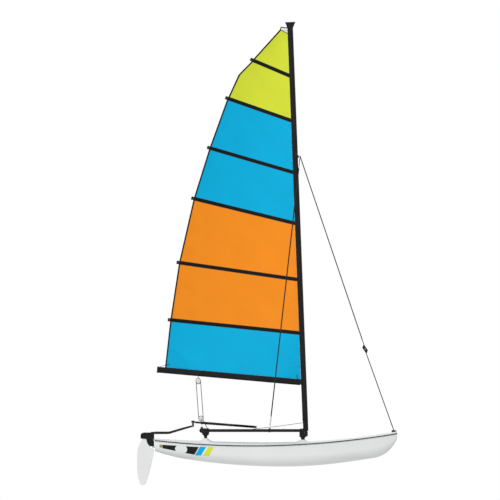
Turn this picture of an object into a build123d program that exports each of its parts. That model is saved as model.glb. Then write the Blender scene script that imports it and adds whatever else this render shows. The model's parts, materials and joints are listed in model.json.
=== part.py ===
from build123d import *
import math
import os

os.makedirs("parts", exist_ok=True)

# Two-hulled sailing boat in millimetres. X runs forward to the bows, Y to port, Z up.
# The origin is on the waterline, amidships, on the centreline.

# Hulls: the stations run from transom to bow
HULL_SPACING = 2010.0
SEAM_LOW_X = -442.0
SEAM_LOW_Z = 213.0
SEAM_RADIUS = 15300.0
SHOULDER = 22.0
GUNWALE_LIP = 9.0
GUNWALE_HEIGHT = 14.0
GUNWALE_BLANK_BELOW = 60.0
GUNWALE_BLANK_ABOVE = 80.0
OUTBOARD_BILGE = (0.92, 0.50)
INBOARD_BILGE = (0.90, 0.52)
# columns: along, keel, crown, outboard, inboard
BODY_STATIONS = (
    (-2135.0, 130.0, 350.0, 98.0, 104.0),
    (-1290.0, -56.0, 307.0, 134.0, 156.0),
    (-480.0, -127.0, 285.0, 151.0, 184.0),
    (295.0, -141.0, 289.0, 152.0, 188.0),
    (1035.0, -88.0, 331.0, 134.0, 162.0),
    (1740.0, 14.0, 420.0, 84.0, 92.0),
)
BOW_STATIONS = (
    (1740.0, 14.0, 420.0, 84.0, 92.0),
    (1890.0, 74.0, 442.0, 62.0, 67.0),
    (2020.0, 185.0, 460.0, 36.0, 38.0),
    (2122.0, 352.0, 472.0, 9.0, 9.0),
)
STATION_RUNS = (BODY_STATIONS, BOW_STATIONS)

# Pylon humps on the decks and the pylons on them
REAR_PYLON_X = -1246.0
FRONT_PYLON_X = 464.0
HUMP_BASE_Z = 270.0
# columns: share of height, along radius, across radius
HUMP_RINGS = (
    (0.0, 180.0, 108.0),
    (0.45, 108.0, 78.0),
    (0.74, 64.0, 56.0),
    (1.0, 42.0, 42.0),
)
# columns: along, hump top, neck radius, neck height, head radius, head bottom, head top
PYLONS = (
    (REAR_PYLON_X, 355.0, 28.0, 26.0, 60.0, 414.0, 446.0),
    (FRONT_PYLON_X, 329.0, 33.0, 18.0, 62.0, 378.0, 390.0),
)

# Platform frame
RAIL_Z = 490.0
RAIL_RADIUS = 26.0
RAIL_REAR_X = -1180.0
RAIL_FRONT_X = 410.0
RAIL_GROOVE_DEPTH = 12.0
RAIL_GROOVE_HEIGHT = 5.0
CASTING_WIDTH = 110.0
REAR_BEAM_X = -1312.0
REAR_BEAM_RADIUS = 38.0
REAR_BEAM_FLAT = 36.0
REAR_CASTING_END_RADIUS = 44.0
REAR_CASTING_TOP = 528.0
FRONT_BEAM_X = 490.0
FRONT_BEAM_Z = 426.0
FRONT_BEAM_WIDTH = 108.0
FRONT_BEAM_HEIGHT = 72.0
FRONT_CASTING_REAR_X = 402.0
FRONT_CASTING_FRONT_X = 550.0
FRONT_CASTING_TOP = 464.0
RAIL_CLAMP_FRONT_X = 486.0
RAIL_CLAMP_WIDTH = 72.0
RAIL_CLAMP_TOP = 522.0
CASTING_ROUND = 7.0
CASTING_EDGE = 2.5

# Trampoline and traveller
TRAMPOLINE_THICKNESS = 4.0
TRAMPOLINE_FRONT_X = 396.0
TRAMPOLINE_REAR_X = -1238.0
TRAMPOLINE_NOTCH_X = -1168.0
TRAMPOLINE_NOTCH_Y = 935.0
TRACK_LENGTH = 1500.0
TRACK_WIDTH = 24.0
TRACK_HEIGHT = 14.0
CAR_LENGTH = 90.0
CAR_WIDTH = 44.0
CAR_HEIGHT = 26.0
CAR_SIDE_CLEARANCE = 1.0
CAR_LIFT = 3.0

# Mast, raked aft on its step
MAST_FOOT_X = 513.0
MAST_FOOT_Z = 480.0
MAST_RAKE = 2.2
MAST_NOSE_RADIUS = 32.0
MAST_NOSE_X = 17.0
MAST_TAIL_RADIUS = 11.0
MAST_TAIL_X = -38.0
MAST_GROOVE_RADIUS = 5.0
MAST_GROOVE_SLOT = 4.0
MAST_BASE_HEIGHT = 176.0
MAST_BASE_NOSE_RADIUS = 34.0
MAST_BASE_NOSE_X = 14.0
MAST_BASE_TAIL_RADIUS = 20.0
MAST_BASE_TAIL_X = -24.0
MAST_TOP = 7088.0
MASTHEAD_HEIGHT = 105.0
MASTHEAD_FOOT = (98.0, 58.0)
MASTHEAD_TOP = (185.0, 54.0)
MASTHEAD_TOP_SHIFT = 4.0
SHEAVE_SLOT_WIDTH = 14.0
SHEAVE_SLOT_DEPTH = 52.0
STEP_LENGTH = 88.0
STEP_WIDTH = 96.0
STEP_THICKNESS = 7.0
STEP_BOSS_RADIUS = 27.0
STEP_PIN_RADIUS = 13.6
STEP_PIN_HEIGHT = 45.0
STEP_PIN_ROOT = 5.0
STEP_BOSS_DEPTH = 14.0
STEP_BORE_DEPTH = 50.0
STEP_CLEARANCE = 0.4
HOUNDS_HEIGHT = 4826.0
TANG_REACH = 70.0
TANG_HEIGHT = 46.0
TANG_THICKNESS = 8.0
TANG_ROOT = 10.0
TANG_EYE_RADIUS = 5.5
TANG_EYE_MARGIN = 12.5

# Stays
STAY_JOINT_REACH = 88.0
WIRE_RADIUS = 5.0
FERRULE_RADIUS = 7.5
FERRULE_ROOT = 5.0
LINK_HEAD_ROOT = 24.0
LINK_HEEL_ROOT = 16.0
FERRULE_LENGTH = 80.0
SHACKLE_RADIUS = 11.0
ANCHOR_X = -123.0
ANCHOR_LENGTH = 46.0
ANCHOR_WALL = 5.0
ANCHOR_LUG = (24.0, 12.0)
ANCHOR_LUG_TOP = 58.0
ANCHOR_LUG_ROOT = 27.5
ADJUSTER_LENGTH = 185.0
ADJUSTER_SECTION = (26.0, 12.0)
ADJUSTER_HOLE_RADIUS = 3.2
ADJUSTER_HOLE_COUNT = 7
ADJUSTER_HOLE_PITCH = 24.0
LINK_TOP = (1531.0, 2012.0)
LINK_FRONT = (1606.0, 1902.0)
LINK_FOOT = (1582.0, 1832.0)
LINK_REAR = (1506.0, 1944.0)
LINK_THICKNESS = 8.0
LINK_ROUND = 12.0
LINK_EYE_RADIUS = 6.0
BOW_TANG_X = 2064.0
BOW_TANG_LENGTH = 84.0
BOW_TANG_WIDTH = 10.0
BOW_TANG_BOTTOM = 452.0
BOW_TANG_TOP = 497.0
BOW_EYE_X = 2090.0
BOW_EYE_Z = 483.0
BOW_EYE_RADIUS = 6.0
BRIDLE_INSET = 12.0

# Boom, boom jaws and sail
BOOM_FRONT = (415.0, 1338.6)
BOOM_REAR = (-2062.0, 1557.6)
BOOM_HEIGHT = 105.0
BOOM_WIDTH = 60.0
BOOM_ROUND = 22.0
BOOM_CAP_LENGTH = 38.0
BOOM_CAP_GROWTH = 6.0
JAW_LENGTH = 35.0
JAW_HEIGHT = 84.0
JAW_WIDTH = 56.0
JAW_ROUND = 8.0
JAW_CLEARANCE = 0.4
LUFF_SETBACK = 49.4
CLOTH = 3.0
CAMBER = 0.045
FOOT_CAMBER = 0.0005
BATTEN_WIDTH = 58.0
BATTEN_THICKNESS = 10.0
BATTEN_STANDOUT = 45.0
# columns: luff height, leech along, leech height
BATTENS = (
    (6726.0, -422.0, 7000.0),
    (5937.0, -861.0, 6328.0),
    (5027.0, -1177.0, 5456.0),
    (4131.0, -1455.0, 4567.0),
    (3144.0, -1713.0, 3441.0),
    (2204.0, -1866.0, 2434.0),
)
HEADBOARD_FOOT_Z = 7420.0
HEADBOARD_HEIGHT = 90.0
PEAK = (44.0, 7571.0)
HEADBOARD_THICKNESS = 6.0
TACK_X = 404.0
CLEW_X = -1959.0

# Rudders on the transoms
PINTLE_SETBACK = 33.0
PINTLE_RADIUS = 6.0
PINTLE_CLEARANCE = 0.4
PINTLE_BOTTOM = 188.0
PINTLE_TOP = 420.0
PINTLE_FLANGE = 12.0
PINTLE_END_GAP = 4.0
GUDGEON_HEIGHTS = (201.0, 321.0)
GUDGEON_THICKNESS = 14.0
GUDGEON_RING = 15.0
GUDGEON_NECK = 22.0
GUDGEON_PLATE = (6.0, 44.0, 40.0)
STOCK_BOTTOM = 212.0
STOCK_TOP = 456.0
STOCK_HALF_WIDTH = 21.0
CHEEK_INNER = 13.0
BARREL_RADIUS = 19.0
WEB_LENGTH = 38.0
NOTCH_RADIUS = 21.0
NOTCH_BOTTOM = 310.0
NOTCH_TOP = 332.0
BRIDGE_LENGTH = 110.0
BRIDGE_OVERLAP = 10.0
BRIDGE_BOTTOM = 440.0
SOCKET_LENGTH = 66.0
SOCKET_BOTTOM = 428.0
SOCKET_TOP = 468.0
SOCKET_OVERLAP = 10.0
BLADE_PIN_SETBACK = 117.0
BLADE_PIN_HEIGHT = 385.0
BLADE_PIN_RADIUS = 8.0
BLADE_PIN_CLEARANCE = 0.4
BLADE_PIN_HEAD = 15.0
BLADE_PIN_HEAD_HEIGHT = 5.0
BLADE_THICKNESS = 24.0
BLADE_HEAD_RADIUS = 49.0
BLADE_EDGE = 9.0
# columns: behind the hinge, height
CHEEK_OUTLINE = (
    (32.0, 456.0),
    (162.0, 456.0),
    (204.0, 444.0),
    (221.0, 414.0),
    (221.0, 356.0),
    (212.0, 348.0),
    (124.0, 344.0),
    (102.0, 270.0),
    (72.0, 226.0),
    (32.0, 212.0),
)
# columns: behind the hinge, height
BLADE_FRONT = (
    (44.0, 318.0),
    (44.0, 190.0),
    (-8.0, 178.0),
    (-16.0, 148.0),
)
BLADE_LEADING_MIDDLE = (31.0, -100.0)
BLADE_TIP_FRONT = (117.0, -410.0)
BLADE_TIP = (167.0, -467.0)
BLADE_TIP_REAR = (242.0, -400.0)
BLADE_TRAILING_LOW = (273.0, -300.0)
BLADE_TRAILING_REAR = (284.0, -160.0)
BLADE_TRAILING_HIGH = (284.0, 60.0)
BLADE_TRAILING_UPPER = (265.0, 201.0)
BLADE_SHOULDER = (204.0, 324.0)

# Tiller arms, tiller bar and extension
ARM_RADIUS = 15.0
ARM_BEND = 160.0
# columns: ahead of the hinge, height
ARM_PATH = (
    (28.0, 450.0),
    (278.0, 450.0),
    (548.0, 530.0),
    (701.0, 571.0),
)
ARM_EYE_RADIUS = 19.0
ARM_EYE_BOTTOM = 556.0
ARM_EYE_TOP = 586.0
BAR_Z = 604.0
BAR_RADIUS = 12.0
BAR_EYE_HEIGHT = 24.0
BAR_PIN_RADIUS = 6.0
BAR_PIN_CLEARANCE = 0.4
BAR_PIN_TOP = 628.0
BAR_PIN_ROOT = 5.0
BAR_PIN_HEAD_RADIUS = 11.0
BAR_PIN_HEAD_HEIGHT = 6.0
SWIVEL_RADIUS = 17.0
SWIVEL_BOTTOM = 590.0
SWIVEL_TOP = 622.0
SWIVEL_PIN_TOP = 660.0
STICK_BOTTOM = 628.0
STICK_TOP = 648.0
STICK_Z = 638.0
STICK_RADIUS = 17.0
STICK_EYE_RADIUS = 20.0
STICK_NECK_START = 12.0
STICK_NECK_LENGTH = 60.0
STICK_NECK_RADIUS = 9.35
STICK_START = 50.0
STICK_LENGTH = 1185.0
STICK_TURN = 20.0
STICK_DROP = 4.2

SIDES = (-1.0, 1.0)
HULL_Y = HULL_SPACING / 2
HULL_LENGTH = BOW_STATIONS[-1][0] - BODY_STATIONS[0][0]
TRANSOM_X = BODY_STATIONS[0][0]
PINTLE_X = TRANSOM_X - PINTLE_SETBACK
BLADE_PIN = (PINTLE_X - BLADE_PIN_SETBACK, BLADE_PIN_HEIGHT)
WEB_REAR_X = PINTLE_X - WEB_LENGTH
SOCKET_FRONT_X = PINTLE_X + ARM_PATH[0][0]
ARM_EYE_X = PINTLE_X + ARM_PATH[-1][0]
RAKE = math.radians(MAST_RAKE)
MAST_PLANE = Plane(
    origin=(MAST_FOOT_X, 0, MAST_FOOT_Z),
    x_dir=(math.cos(RAKE), 0, math.sin(RAKE)),
    z_dir=(-math.sin(RAKE), 0, math.cos(RAKE)),
)
MAST_UP = Vector(-math.sin(RAKE), 0, math.cos(RAKE))
TANG_PLANE = Plane(
    origin=MAST_PLANE.origin + MAST_UP * HOUNDS_HEIGHT,
    x_dir=MAST_PLANE.x_dir,
    z_dir=(0, -1, 0),
)
STAY_JOINT = Vector(
    MAST_FOOT_X + STAY_JOINT_REACH * math.cos(RAKE) - HOUNDS_HEIGHT * math.sin(RAKE),
    0,
    MAST_FOOT_Z + STAY_JOINT_REACH * math.sin(RAKE) + HOUNDS_HEIGHT * math.cos(RAKE),
)


def seam_height(along):
    """Height of the joint between hull and deck at a place along the boat."""
    run = along - SEAM_LOW_X
    return SEAM_LOW_Z + SEAM_RADIUS - math.sqrt(SEAM_RADIUS**2 - run**2)


def luff_point(height):
    """Point on the sail's front edge at a height."""
    rise = (height - MAST_FOOT_Z) / math.cos(RAKE)
    along = MAST_FOOT_X - rise * math.sin(RAKE) - LUFF_SETBACK / math.cos(RAKE)
    return Vector(along, 0, height)


def behind_hinge(points):
    """Points given by their distance behind the rudder hinge, as places along the boat."""
    return [(PINTLE_X - back, height) for back, height in points]


def toward(start, end):
    """Unit direction from one point to another."""
    return (Vector(end) - Vector(start)).normalized()


SEAM_LEFT = (-HULL_LENGTH, seam_height(-HULL_LENGTH))
SEAM_MIDDLE = (0.0, seam_height(0.0))
SEAM_RIGHT = (HULL_LENGTH, seam_height(HULL_LENGTH))
LIP_LEFT = (-HULL_LENGTH, SEAM_LEFT[1] + GUNWALE_HEIGHT)
LIP_MIDDLE = (0.0, SEAM_MIDDLE[1] + GUNWALE_HEIGHT)
LIP_RIGHT = (HULL_LENGTH, SEAM_RIGHT[1] + GUNWALE_HEIGHT)

# Whole hull with its deck, lofted through the stations
with BuildPart() as shell:
    for stations in STATION_RUNS:
        for along, keel, crown, outboard, inboard in stations:
            seam = seam_height(along)
            depth = seam - keel
            keel_point = (-HULL_Y, keel)
            out_bilge = (-HULL_Y - OUTBOARD_BILGE[0] * outboard, keel + OUTBOARD_BILGE[1] * depth)
            in_bilge = (-HULL_Y + INBOARD_BILGE[0] * inboard, keel + INBOARD_BILGE[1] * depth)
            out_shoulder = (-HULL_Y - outboard, seam + SHOULDER)
            in_shoulder = (-HULL_Y + inboard, seam + SHOULDER)
            out_side = (out_bilge[0] - out_shoulder[0], out_bilge[1] - out_shoulder[1])
            in_side = (in_bilge[0] - in_shoulder[0], in_bilge[1] - in_shoulder[1])
            with BuildSketch(Plane.YZ.offset(along)):
                with BuildLine():
                    TangentArc(out_bilge, keel_point, tangent=out_side)
                    Line(out_bilge, out_shoulder)
                    ThreePointArc(out_shoulder, (-HULL_Y, crown), in_shoulder)
                    Line(in_shoulder, in_bilge)
                    TangentArc(in_bilge, keel_point, tangent=in_side)
                make_face()
        loft()

with BuildPart() as hull_starboard:
    add(shell.part)
    with BuildSketch(Plane.XZ):
        with BuildLine():
            ThreePointArc(SEAM_LEFT, SEAM_MIDDLE, SEAM_RIGHT)
            Line(SEAM_RIGHT, (HULL_LENGTH, HULL_LENGTH))
            Line((HULL_LENGTH, HULL_LENGTH), (-HULL_LENGTH, HULL_LENGTH))
            Line((-HULL_LENGTH, HULL_LENGTH), SEAM_LEFT)
        make_face()
    extrude(amount=HULL_SPACING, both=True, mode=Mode.SUBTRACT)
hull_starboard.part.label = "hull_starboard"
export_step(hull_starboard.part, "parts/hull_starboard.step")

with BuildPart() as hull_port:
    mirror(hull_starboard.part, about=Plane.XZ)
hull_port.part.label = "hull_port"
export_step(hull_port.part, "parts/hull_port.step")

# Decks with the humps that carry the pylons
with BuildPart() as deck_starboard:
    add(shell.part)
    with BuildSketch(Plane.XZ):
        with BuildLine():
            ThreePointArc(LIP_LEFT, LIP_MIDDLE, LIP_RIGHT)
            Line(LIP_RIGHT, (HULL_LENGTH, -HULL_LENGTH))
            Line((HULL_LENGTH, -HULL_LENGTH), (-HULL_LENGTH, -HULL_LENGTH))
            Line((-HULL_LENGTH, -HULL_LENGTH), LIP_LEFT)
        make_face()
    extrude(amount=HULL_SPACING, both=True, mode=Mode.SUBTRACT)
    for along, hump_top, neck, neck_height, head, head_bottom, head_top in PYLONS:
        for share, along_radius, across_radius in HUMP_RINGS:
            ring_z = HUMP_BASE_Z + share * (hump_top - HUMP_BASE_Z)
            with BuildSketch(Plane((along, -HULL_Y, ring_z))):
                Ellipse(along_radius, across_radius)
        loft()
deck_starboard.part.label = "deck_starboard"
export_step(deck_starboard.part, "parts/deck_starboard.step")

with BuildPart() as deck_port:
    mirror(deck_starboard.part, about=Plane.XZ)
deck_port.part.label = "deck_port"
export_step(deck_port.part, "parts/deck_port.step")

# Gunwales: the joint's lip round each hull
with BuildPart() as gunwale_one:
    for stations in STATION_RUNS:
        for along, keel, crown, outboard, inboard in stations:
            seam = seam_height(along)
            low = seam - GUNWALE_BLANK_BELOW
            high = seam + GUNWALE_BLANK_ABOVE
            left = -HULL_Y - outboard - GUNWALE_LIP
            right = -HULL_Y + inboard + GUNWALE_LIP
            with BuildSketch(Plane.YZ.offset(along)):
                with BuildLine():
                    Polyline((left, low), (left, high), (right, high), (right, low), close=True)
                make_face()
        loft()
    with BuildSketch(Plane.XZ):
        with BuildLine():
            ThreePointArc(SEAM_LEFT, SEAM_MIDDLE, SEAM_RIGHT)
            Line(SEAM_RIGHT, LIP_RIGHT)
            ThreePointArc(LIP_RIGHT, LIP_MIDDLE, LIP_LEFT)
            Line(LIP_LEFT, SEAM_LEFT)
        make_face()
    extrude(amount=HULL_SPACING, both=True, mode=Mode.INTERSECT)

with BuildPart() as gunwales:
    add(gunwale_one.part)
    mirror(gunwale_one.part, about=Plane.XZ)
gunwales.part.label = "gunwales"
export_step(gunwales.part, "parts/gunwales.step")

# Pylons standing on the humps
with BuildPart() as pylons:
    for side in SIDES:
        for along, hump_top, neck, neck_height, head, head_bottom, head_top in PYLONS:
            with BuildSketch(Plane.XZ.offset(-side * HULL_Y)):
                with BuildLine():
                    Line((along, hump_top), (along + neck, hump_top))
                    Line((along + neck, hump_top), (along + neck, hump_top + neck_height))
                    TangentArc(
                        (along + neck, hump_top + neck_height), (along + head, head_bottom), tangent=(0, 1)
                    )
                    Line((along + head, head_bottom), (along + head, head_top))
                    Line((along + head, head_top), (along, head_top))
                    Line((along, head_top), (along, hump_top))
                make_face()
            revolve(axis=Axis((along, side * HULL_Y, 0), (0, 0, 1)))
pylons.part.label = "pylons"
export_step(pylons.part, "parts/pylons.step")

# Corner castings
REAR_CASTING_BOTTOM = PYLONS[0][6]
FRONT_CASTING_BOTTOM = PYLONS[1][6]
with BuildPart() as rear_castings:
    for side in SIDES:
        with BuildSketch(Plane.XZ.offset(-side * HULL_Y)):
            with BuildLine():
                Polyline(
                    (REAR_BEAM_X, REAR_CASTING_BOTTOM),
                    (RAIL_REAR_X, REAR_CASTING_BOTTOM),
                    (RAIL_REAR_X, REAR_CASTING_TOP),
                    (REAR_BEAM_X, REAR_CASTING_TOP),
                    close=True,
                )
            make_face()
            with Locations((REAR_BEAM_X, RAIL_Z)):
                Circle(REAR_CASTING_END_RADIUS)
        extrude(amount=CASTING_WIDTH / 2, both=True)
    fillet(rear_castings.edges().filter_by(Axis.Y).group_by(Axis.X)[-1], CASTING_ROUND)
    for face in rear_castings.faces().filter_by(Axis.Y):
        chamfer(face.outer_wire().edges(), CASTING_EDGE)
rear_castings.part.label = "rear_castings"
export_step(rear_castings.part, "parts/rear_castings.step")

with BuildPart() as front_castings:
    for side in SIDES:
        with BuildSketch(Plane.XZ.offset(-side * HULL_Y)):
            with BuildLine():
                Polyline(
                    (FRONT_CASTING_REAR_X, FRONT_CASTING_BOTTOM),
                    (FRONT_CASTING_FRONT_X, FRONT_CASTING_BOTTOM),
                    (FRONT_CASTING_FRONT_X, FRONT_CASTING_TOP),
                    (FRONT_CASTING_REAR_X, FRONT_CASTING_TOP),
                    close=True,
                )
            make_face()
        extrude(amount=CASTING_WIDTH / 2, both=True)
        with BuildSketch(Plane.XZ.offset(-side * HULL_Y)):
            with BuildLine():
                Polyline(
                    (RAIL_FRONT_X, FRONT_CASTING_TOP),
                    (RAIL_CLAMP_FRONT_X, FRONT_CASTING_TOP),
                    (RAIL_CLAMP_FRONT_X, RAIL_CLAMP_TOP),
                    (RAIL_FRONT_X, RAIL_CLAMP_TOP),
                    close=True,
                )
            make_face()
        extrude(amount=RAIL_CLAMP_WIDTH / 2, both=True)
    fillet(front_castings.edges().filter_by(Axis.Y).group_by(Axis.Z)[-1], CASTING_ROUND)
    fillet(front_castings.edges().filter_by(Axis.Y).group_by(Axis.X)[-1], CASTING_ROUND)
front_castings.part.label = "front_castings"
export_step(front_castings.part, "parts/front_castings.step")

# Beams between the castings
BEAM_HALF = HULL_Y - CASTING_WIDTH / 2
with BuildPart() as front_beam:
    with BuildSketch(Plane.XZ):
        with Locations((FRONT_BEAM_X, FRONT_BEAM_Z)):
            SlotOverall(FRONT_BEAM_WIDTH, FRONT_BEAM_HEIGHT)
    extrude(amount=BEAM_HALF, both=True)
front_beam.part.label = "front_beam"
export_step(front_beam.part, "parts/front_beam.step")

with BuildPart() as rear_beam:
    with BuildSketch(Plane.XZ):
        with Locations((REAR_BEAM_X, RAIL_Z)):
            Circle(REAR_BEAM_RADIUS)
        with Locations((REAR_BEAM_X, RAIL_Z + REAR_BEAM_FLAT + REAR_BEAM_RADIUS / 2)):
            Rectangle(REAR_BEAM_RADIUS * 2, REAR_BEAM_RADIUS, mode=Mode.SUBTRACT)
    extrude(amount=BEAM_HALF, both=True)
rear_beam.part.label = "rear_beam"
export_step(rear_beam.part, "parts/rear_beam.step")

# Side rails, grooved for the trampoline's edge
with BuildPart() as side_rails:
    for side in SIDES:
        with BuildSketch(Plane.YZ.offset(RAIL_REAR_X)):
            with Locations((side * HULL_Y, RAIL_Z)):
                Circle(RAIL_RADIUS)
            with Locations((side * (HULL_Y - RAIL_RADIUS), RAIL_Z)):
                Rectangle(2 * RAIL_GROOVE_DEPTH, RAIL_GROOVE_HEIGHT, mode=Mode.SUBTRACT)
        extrude(amount=RAIL_FRONT_X - RAIL_REAR_X)
side_rails.part.label = "side_rails"
export_step(side_rails.part, "parts/side_rails.step")

TRAMPOLINE_HALF = HULL_Y - RAIL_RADIUS + RAIL_GROOVE_DEPTH
with BuildPart() as trampoline:
    with BuildSketch(Plane.XY.offset(RAIL_Z - TRAMPOLINE_THICKNESS / 2)):
        with BuildLine():
            Polyline(
                (TRAMPOLINE_FRONT_X, -TRAMPOLINE_HALF),
                (TRAMPOLINE_FRONT_X, TRAMPOLINE_HALF),
                (TRAMPOLINE_NOTCH_X, TRAMPOLINE_HALF),
                (TRAMPOLINE_NOTCH_X, TRAMPOLINE_NOTCH_Y),
                (TRAMPOLINE_REAR_X, TRAMPOLINE_NOTCH_Y),
                (TRAMPOLINE_REAR_X, -TRAMPOLINE_NOTCH_Y),
                (TRAMPOLINE_NOTCH_X, -TRAMPOLINE_NOTCH_Y),
                (TRAMPOLINE_NOTCH_X, -TRAMPOLINE_HALF),
                close=True,
            )
        make_face()
    extrude(amount=TRAMPOLINE_THICKNESS)
trampoline.part.label = "trampoline"
export_step(trampoline.part, "parts/trampoline.step")

# Traveller on the rear beam
TRACK_BOTTOM = RAIL_Z + REAR_BEAM_FLAT
with BuildPart() as traveller_track:
    with BuildSketch(Plane((REAR_BEAM_X, 0, TRACK_BOTTOM))):
        Rectangle(TRACK_WIDTH, TRACK_LENGTH)
    extrude(amount=TRACK_HEIGHT)
traveller_track.part.label = "traveller_track"
export_step(traveller_track.part, "parts/traveller_track.step")

CAR_BOTTOM = TRACK_BOTTOM + CAR_LIFT
with BuildPart() as traveller_car:
    with BuildSketch(Plane((REAR_BEAM_X, 0, CAR_BOTTOM))):
        Rectangle(CAR_WIDTH, CAR_LENGTH)
    extrude(amount=CAR_HEIGHT)
    with BuildSketch(Plane((REAR_BEAM_X, 0, CAR_BOTTOM))):
        Rectangle(TRACK_WIDTH + 2 * CAR_SIDE_CLEARANCE, CAR_LENGTH)
    extrude(amount=TRACK_HEIGHT - CAR_LIFT, mode=Mode.SUBTRACT)
traveller_car.part.label = "traveller_car"
export_step(traveller_car.part, "parts/traveller_car.step")

# Mast step on the front beam, with the pin that the mast turns on
FRONT_BEAM_TOP = FRONT_BEAM_Z + FRONT_BEAM_HEIGHT / 2
with BuildPart() as mast_step:
    with BuildSketch(Plane((MAST_FOOT_X, 0, FRONT_BEAM_TOP))):
        Rectangle(STEP_LENGTH, STEP_WIDTH)
    extrude(amount=STEP_THICKNESS)
    with BuildSketch(MAST_PLANE.offset(-STEP_CLEARANCE)):
        Circle(STEP_BOSS_RADIUS)
    extrude(amount=-STEP_BOSS_DEPTH)
    with BuildSketch(MAST_PLANE.offset(-STEP_CLEARANCE - STEP_PIN_ROOT)):
        Circle(STEP_PIN_RADIUS)
    extrude(amount=STEP_PIN_HEIGHT + STEP_PIN_ROOT)
mast_step.part.label = "mast_step"
export_step(mast_step.part, "parts/mast_step.step")

# Mast base, mast with its luff groove and stay tang, and masthead
with BuildPart() as mast_base:
    with BuildSketch(MAST_PLANE):
        with Locations((MAST_BASE_NOSE_X, 0)):
            Circle(MAST_BASE_NOSE_RADIUS)
        with Locations((MAST_BASE_TAIL_X, 0)):
            Circle(MAST_BASE_TAIL_RADIUS)
        make_hull()
    extrude(amount=MAST_BASE_HEIGHT)
    with BuildSketch(MAST_PLANE):
        Circle(STEP_PIN_RADIUS + STEP_CLEARANCE)
    extrude(amount=STEP_BORE_DEPTH, mode=Mode.SUBTRACT)
mast_base.part.label = "mast_base"
export_step(mast_base.part, "parts/mast_base.step")

with BuildPart() as mast:
    with BuildSketch(MAST_PLANE.offset(MAST_BASE_HEIGHT)):
        with Locations((MAST_NOSE_X, 0)):
            Circle(MAST_NOSE_RADIUS)
        with Locations((MAST_TAIL_X, 0)):
            Circle(MAST_TAIL_RADIUS)
        make_hull()
        with Locations((MAST_TAIL_X, 0)):
            Circle(MAST_GROOVE_RADIUS, mode=Mode.SUBTRACT)
        with Locations((MAST_TAIL_X - MAST_TAIL_RADIUS, 0)):
            Rectangle(2 * MAST_TAIL_RADIUS, MAST_GROOVE_SLOT, mode=Mode.SUBTRACT)
    extrude(amount=MAST_TOP - MAST_BASE_HEIGHT)
    with BuildSketch(TANG_PLANE):
        with Locations(((TANG_REACH + TANG_ROOT) / 2, 0)):
            SlotOverall(TANG_REACH - TANG_ROOT, TANG_HEIGHT)
    extrude(amount=TANG_THICKNESS / 2, both=True)
    with BuildSketch(TANG_PLANE):
        with Locations((TANG_REACH - TANG_EYE_MARGIN, 0)):
            Circle(TANG_EYE_RADIUS)
    extrude(amount=TANG_THICKNESS, both=True, mode=Mode.SUBTRACT)
mast.part.label = "mast"
export_step(mast.part, "parts/mast.step")

with BuildPart() as masthead:
    with BuildSketch(MAST_PLANE.offset(MAST_TOP)):
        SlotOverall(MASTHEAD_FOOT[0], MASTHEAD_FOOT[1])
    with BuildSketch(MAST_PLANE.offset(MAST_TOP + MASTHEAD_HEIGHT)):
        with Locations((MASTHEAD_TOP_SHIFT, 0)):
            SlotOverall(MASTHEAD_TOP[0], MASTHEAD_TOP[1])
    loft()
    with BuildSketch(MAST_PLANE.offset(MAST_TOP + MASTHEAD_HEIGHT)):
        with Locations((MASTHEAD_TOP_SHIFT, 0)):
            Rectangle(MASTHEAD_TOP[0], SHEAVE_SLOT_WIDTH)
    extrude(amount=-SHEAVE_SLOT_DEPTH, mode=Mode.SUBTRACT)
masthead.part.label = "masthead"
export_step(masthead.part, "parts/masthead.step")

# Standing rigging: each wire runs between ferrules on its end fittings
LINK_HEAD = Vector(LINK_TOP[0], 0, LINK_TOP[1])
LINK_HEEL = Vector(LINK_FOOT[0], 0, LINK_FOOT[1])
FORESTAY_WAY = toward(STAY_JOINT, LINK_HEAD)
ANCHORS = tuple(Vector(ANCHOR_X, side * HULL_Y, RAIL_Z) for side in SIDES)
SHROUD_WAYS = tuple(toward(anchor, STAY_JOINT) for anchor in ANCHORS)
BOW_POINTS = tuple(Vector(BOW_TANG_X, side * HULL_Y, BOW_TANG_TOP - BRIDLE_INSET) for side in SIDES)
BRIDLE_WAYS = tuple(toward(LINK_HEEL, bow) for bow in BOW_POINTS)
ADJUSTER_TOP = ANCHOR_LUG_TOP + ADJUSTER_LENGTH

with BuildPart() as stay_shackle:
    with Locations(STAY_JOINT):
        Sphere(SHACKLE_RADIUS)
    for way in (SHROUD_WAYS[0] * -1, SHROUD_WAYS[1] * -1, FORESTAY_WAY):
        with BuildSketch(Plane(origin=STAY_JOINT, z_dir=way)):
            Circle(FERRULE_RADIUS)
        extrude(amount=FERRULE_LENGTH)
stay_shackle.part.label = "stay_shackle"
export_step(stay_shackle.part, "parts/stay_shackle.step")

with BuildPart() as shrouds:
    for anchor, way in zip(ANCHORS, SHROUD_WAYS):
        start = ADJUSTER_TOP + FERRULE_LENGTH
        length = (STAY_JOINT - anchor).length - start - FERRULE_LENGTH
        with BuildSketch(Plane(origin=anchor + way * start, z_dir=way)):
            Circle(WIRE_RADIUS)
        extrude(amount=length)
shrouds.part.label = "shrouds"
export_step(shrouds.part, "parts/shrouds.step")

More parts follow.
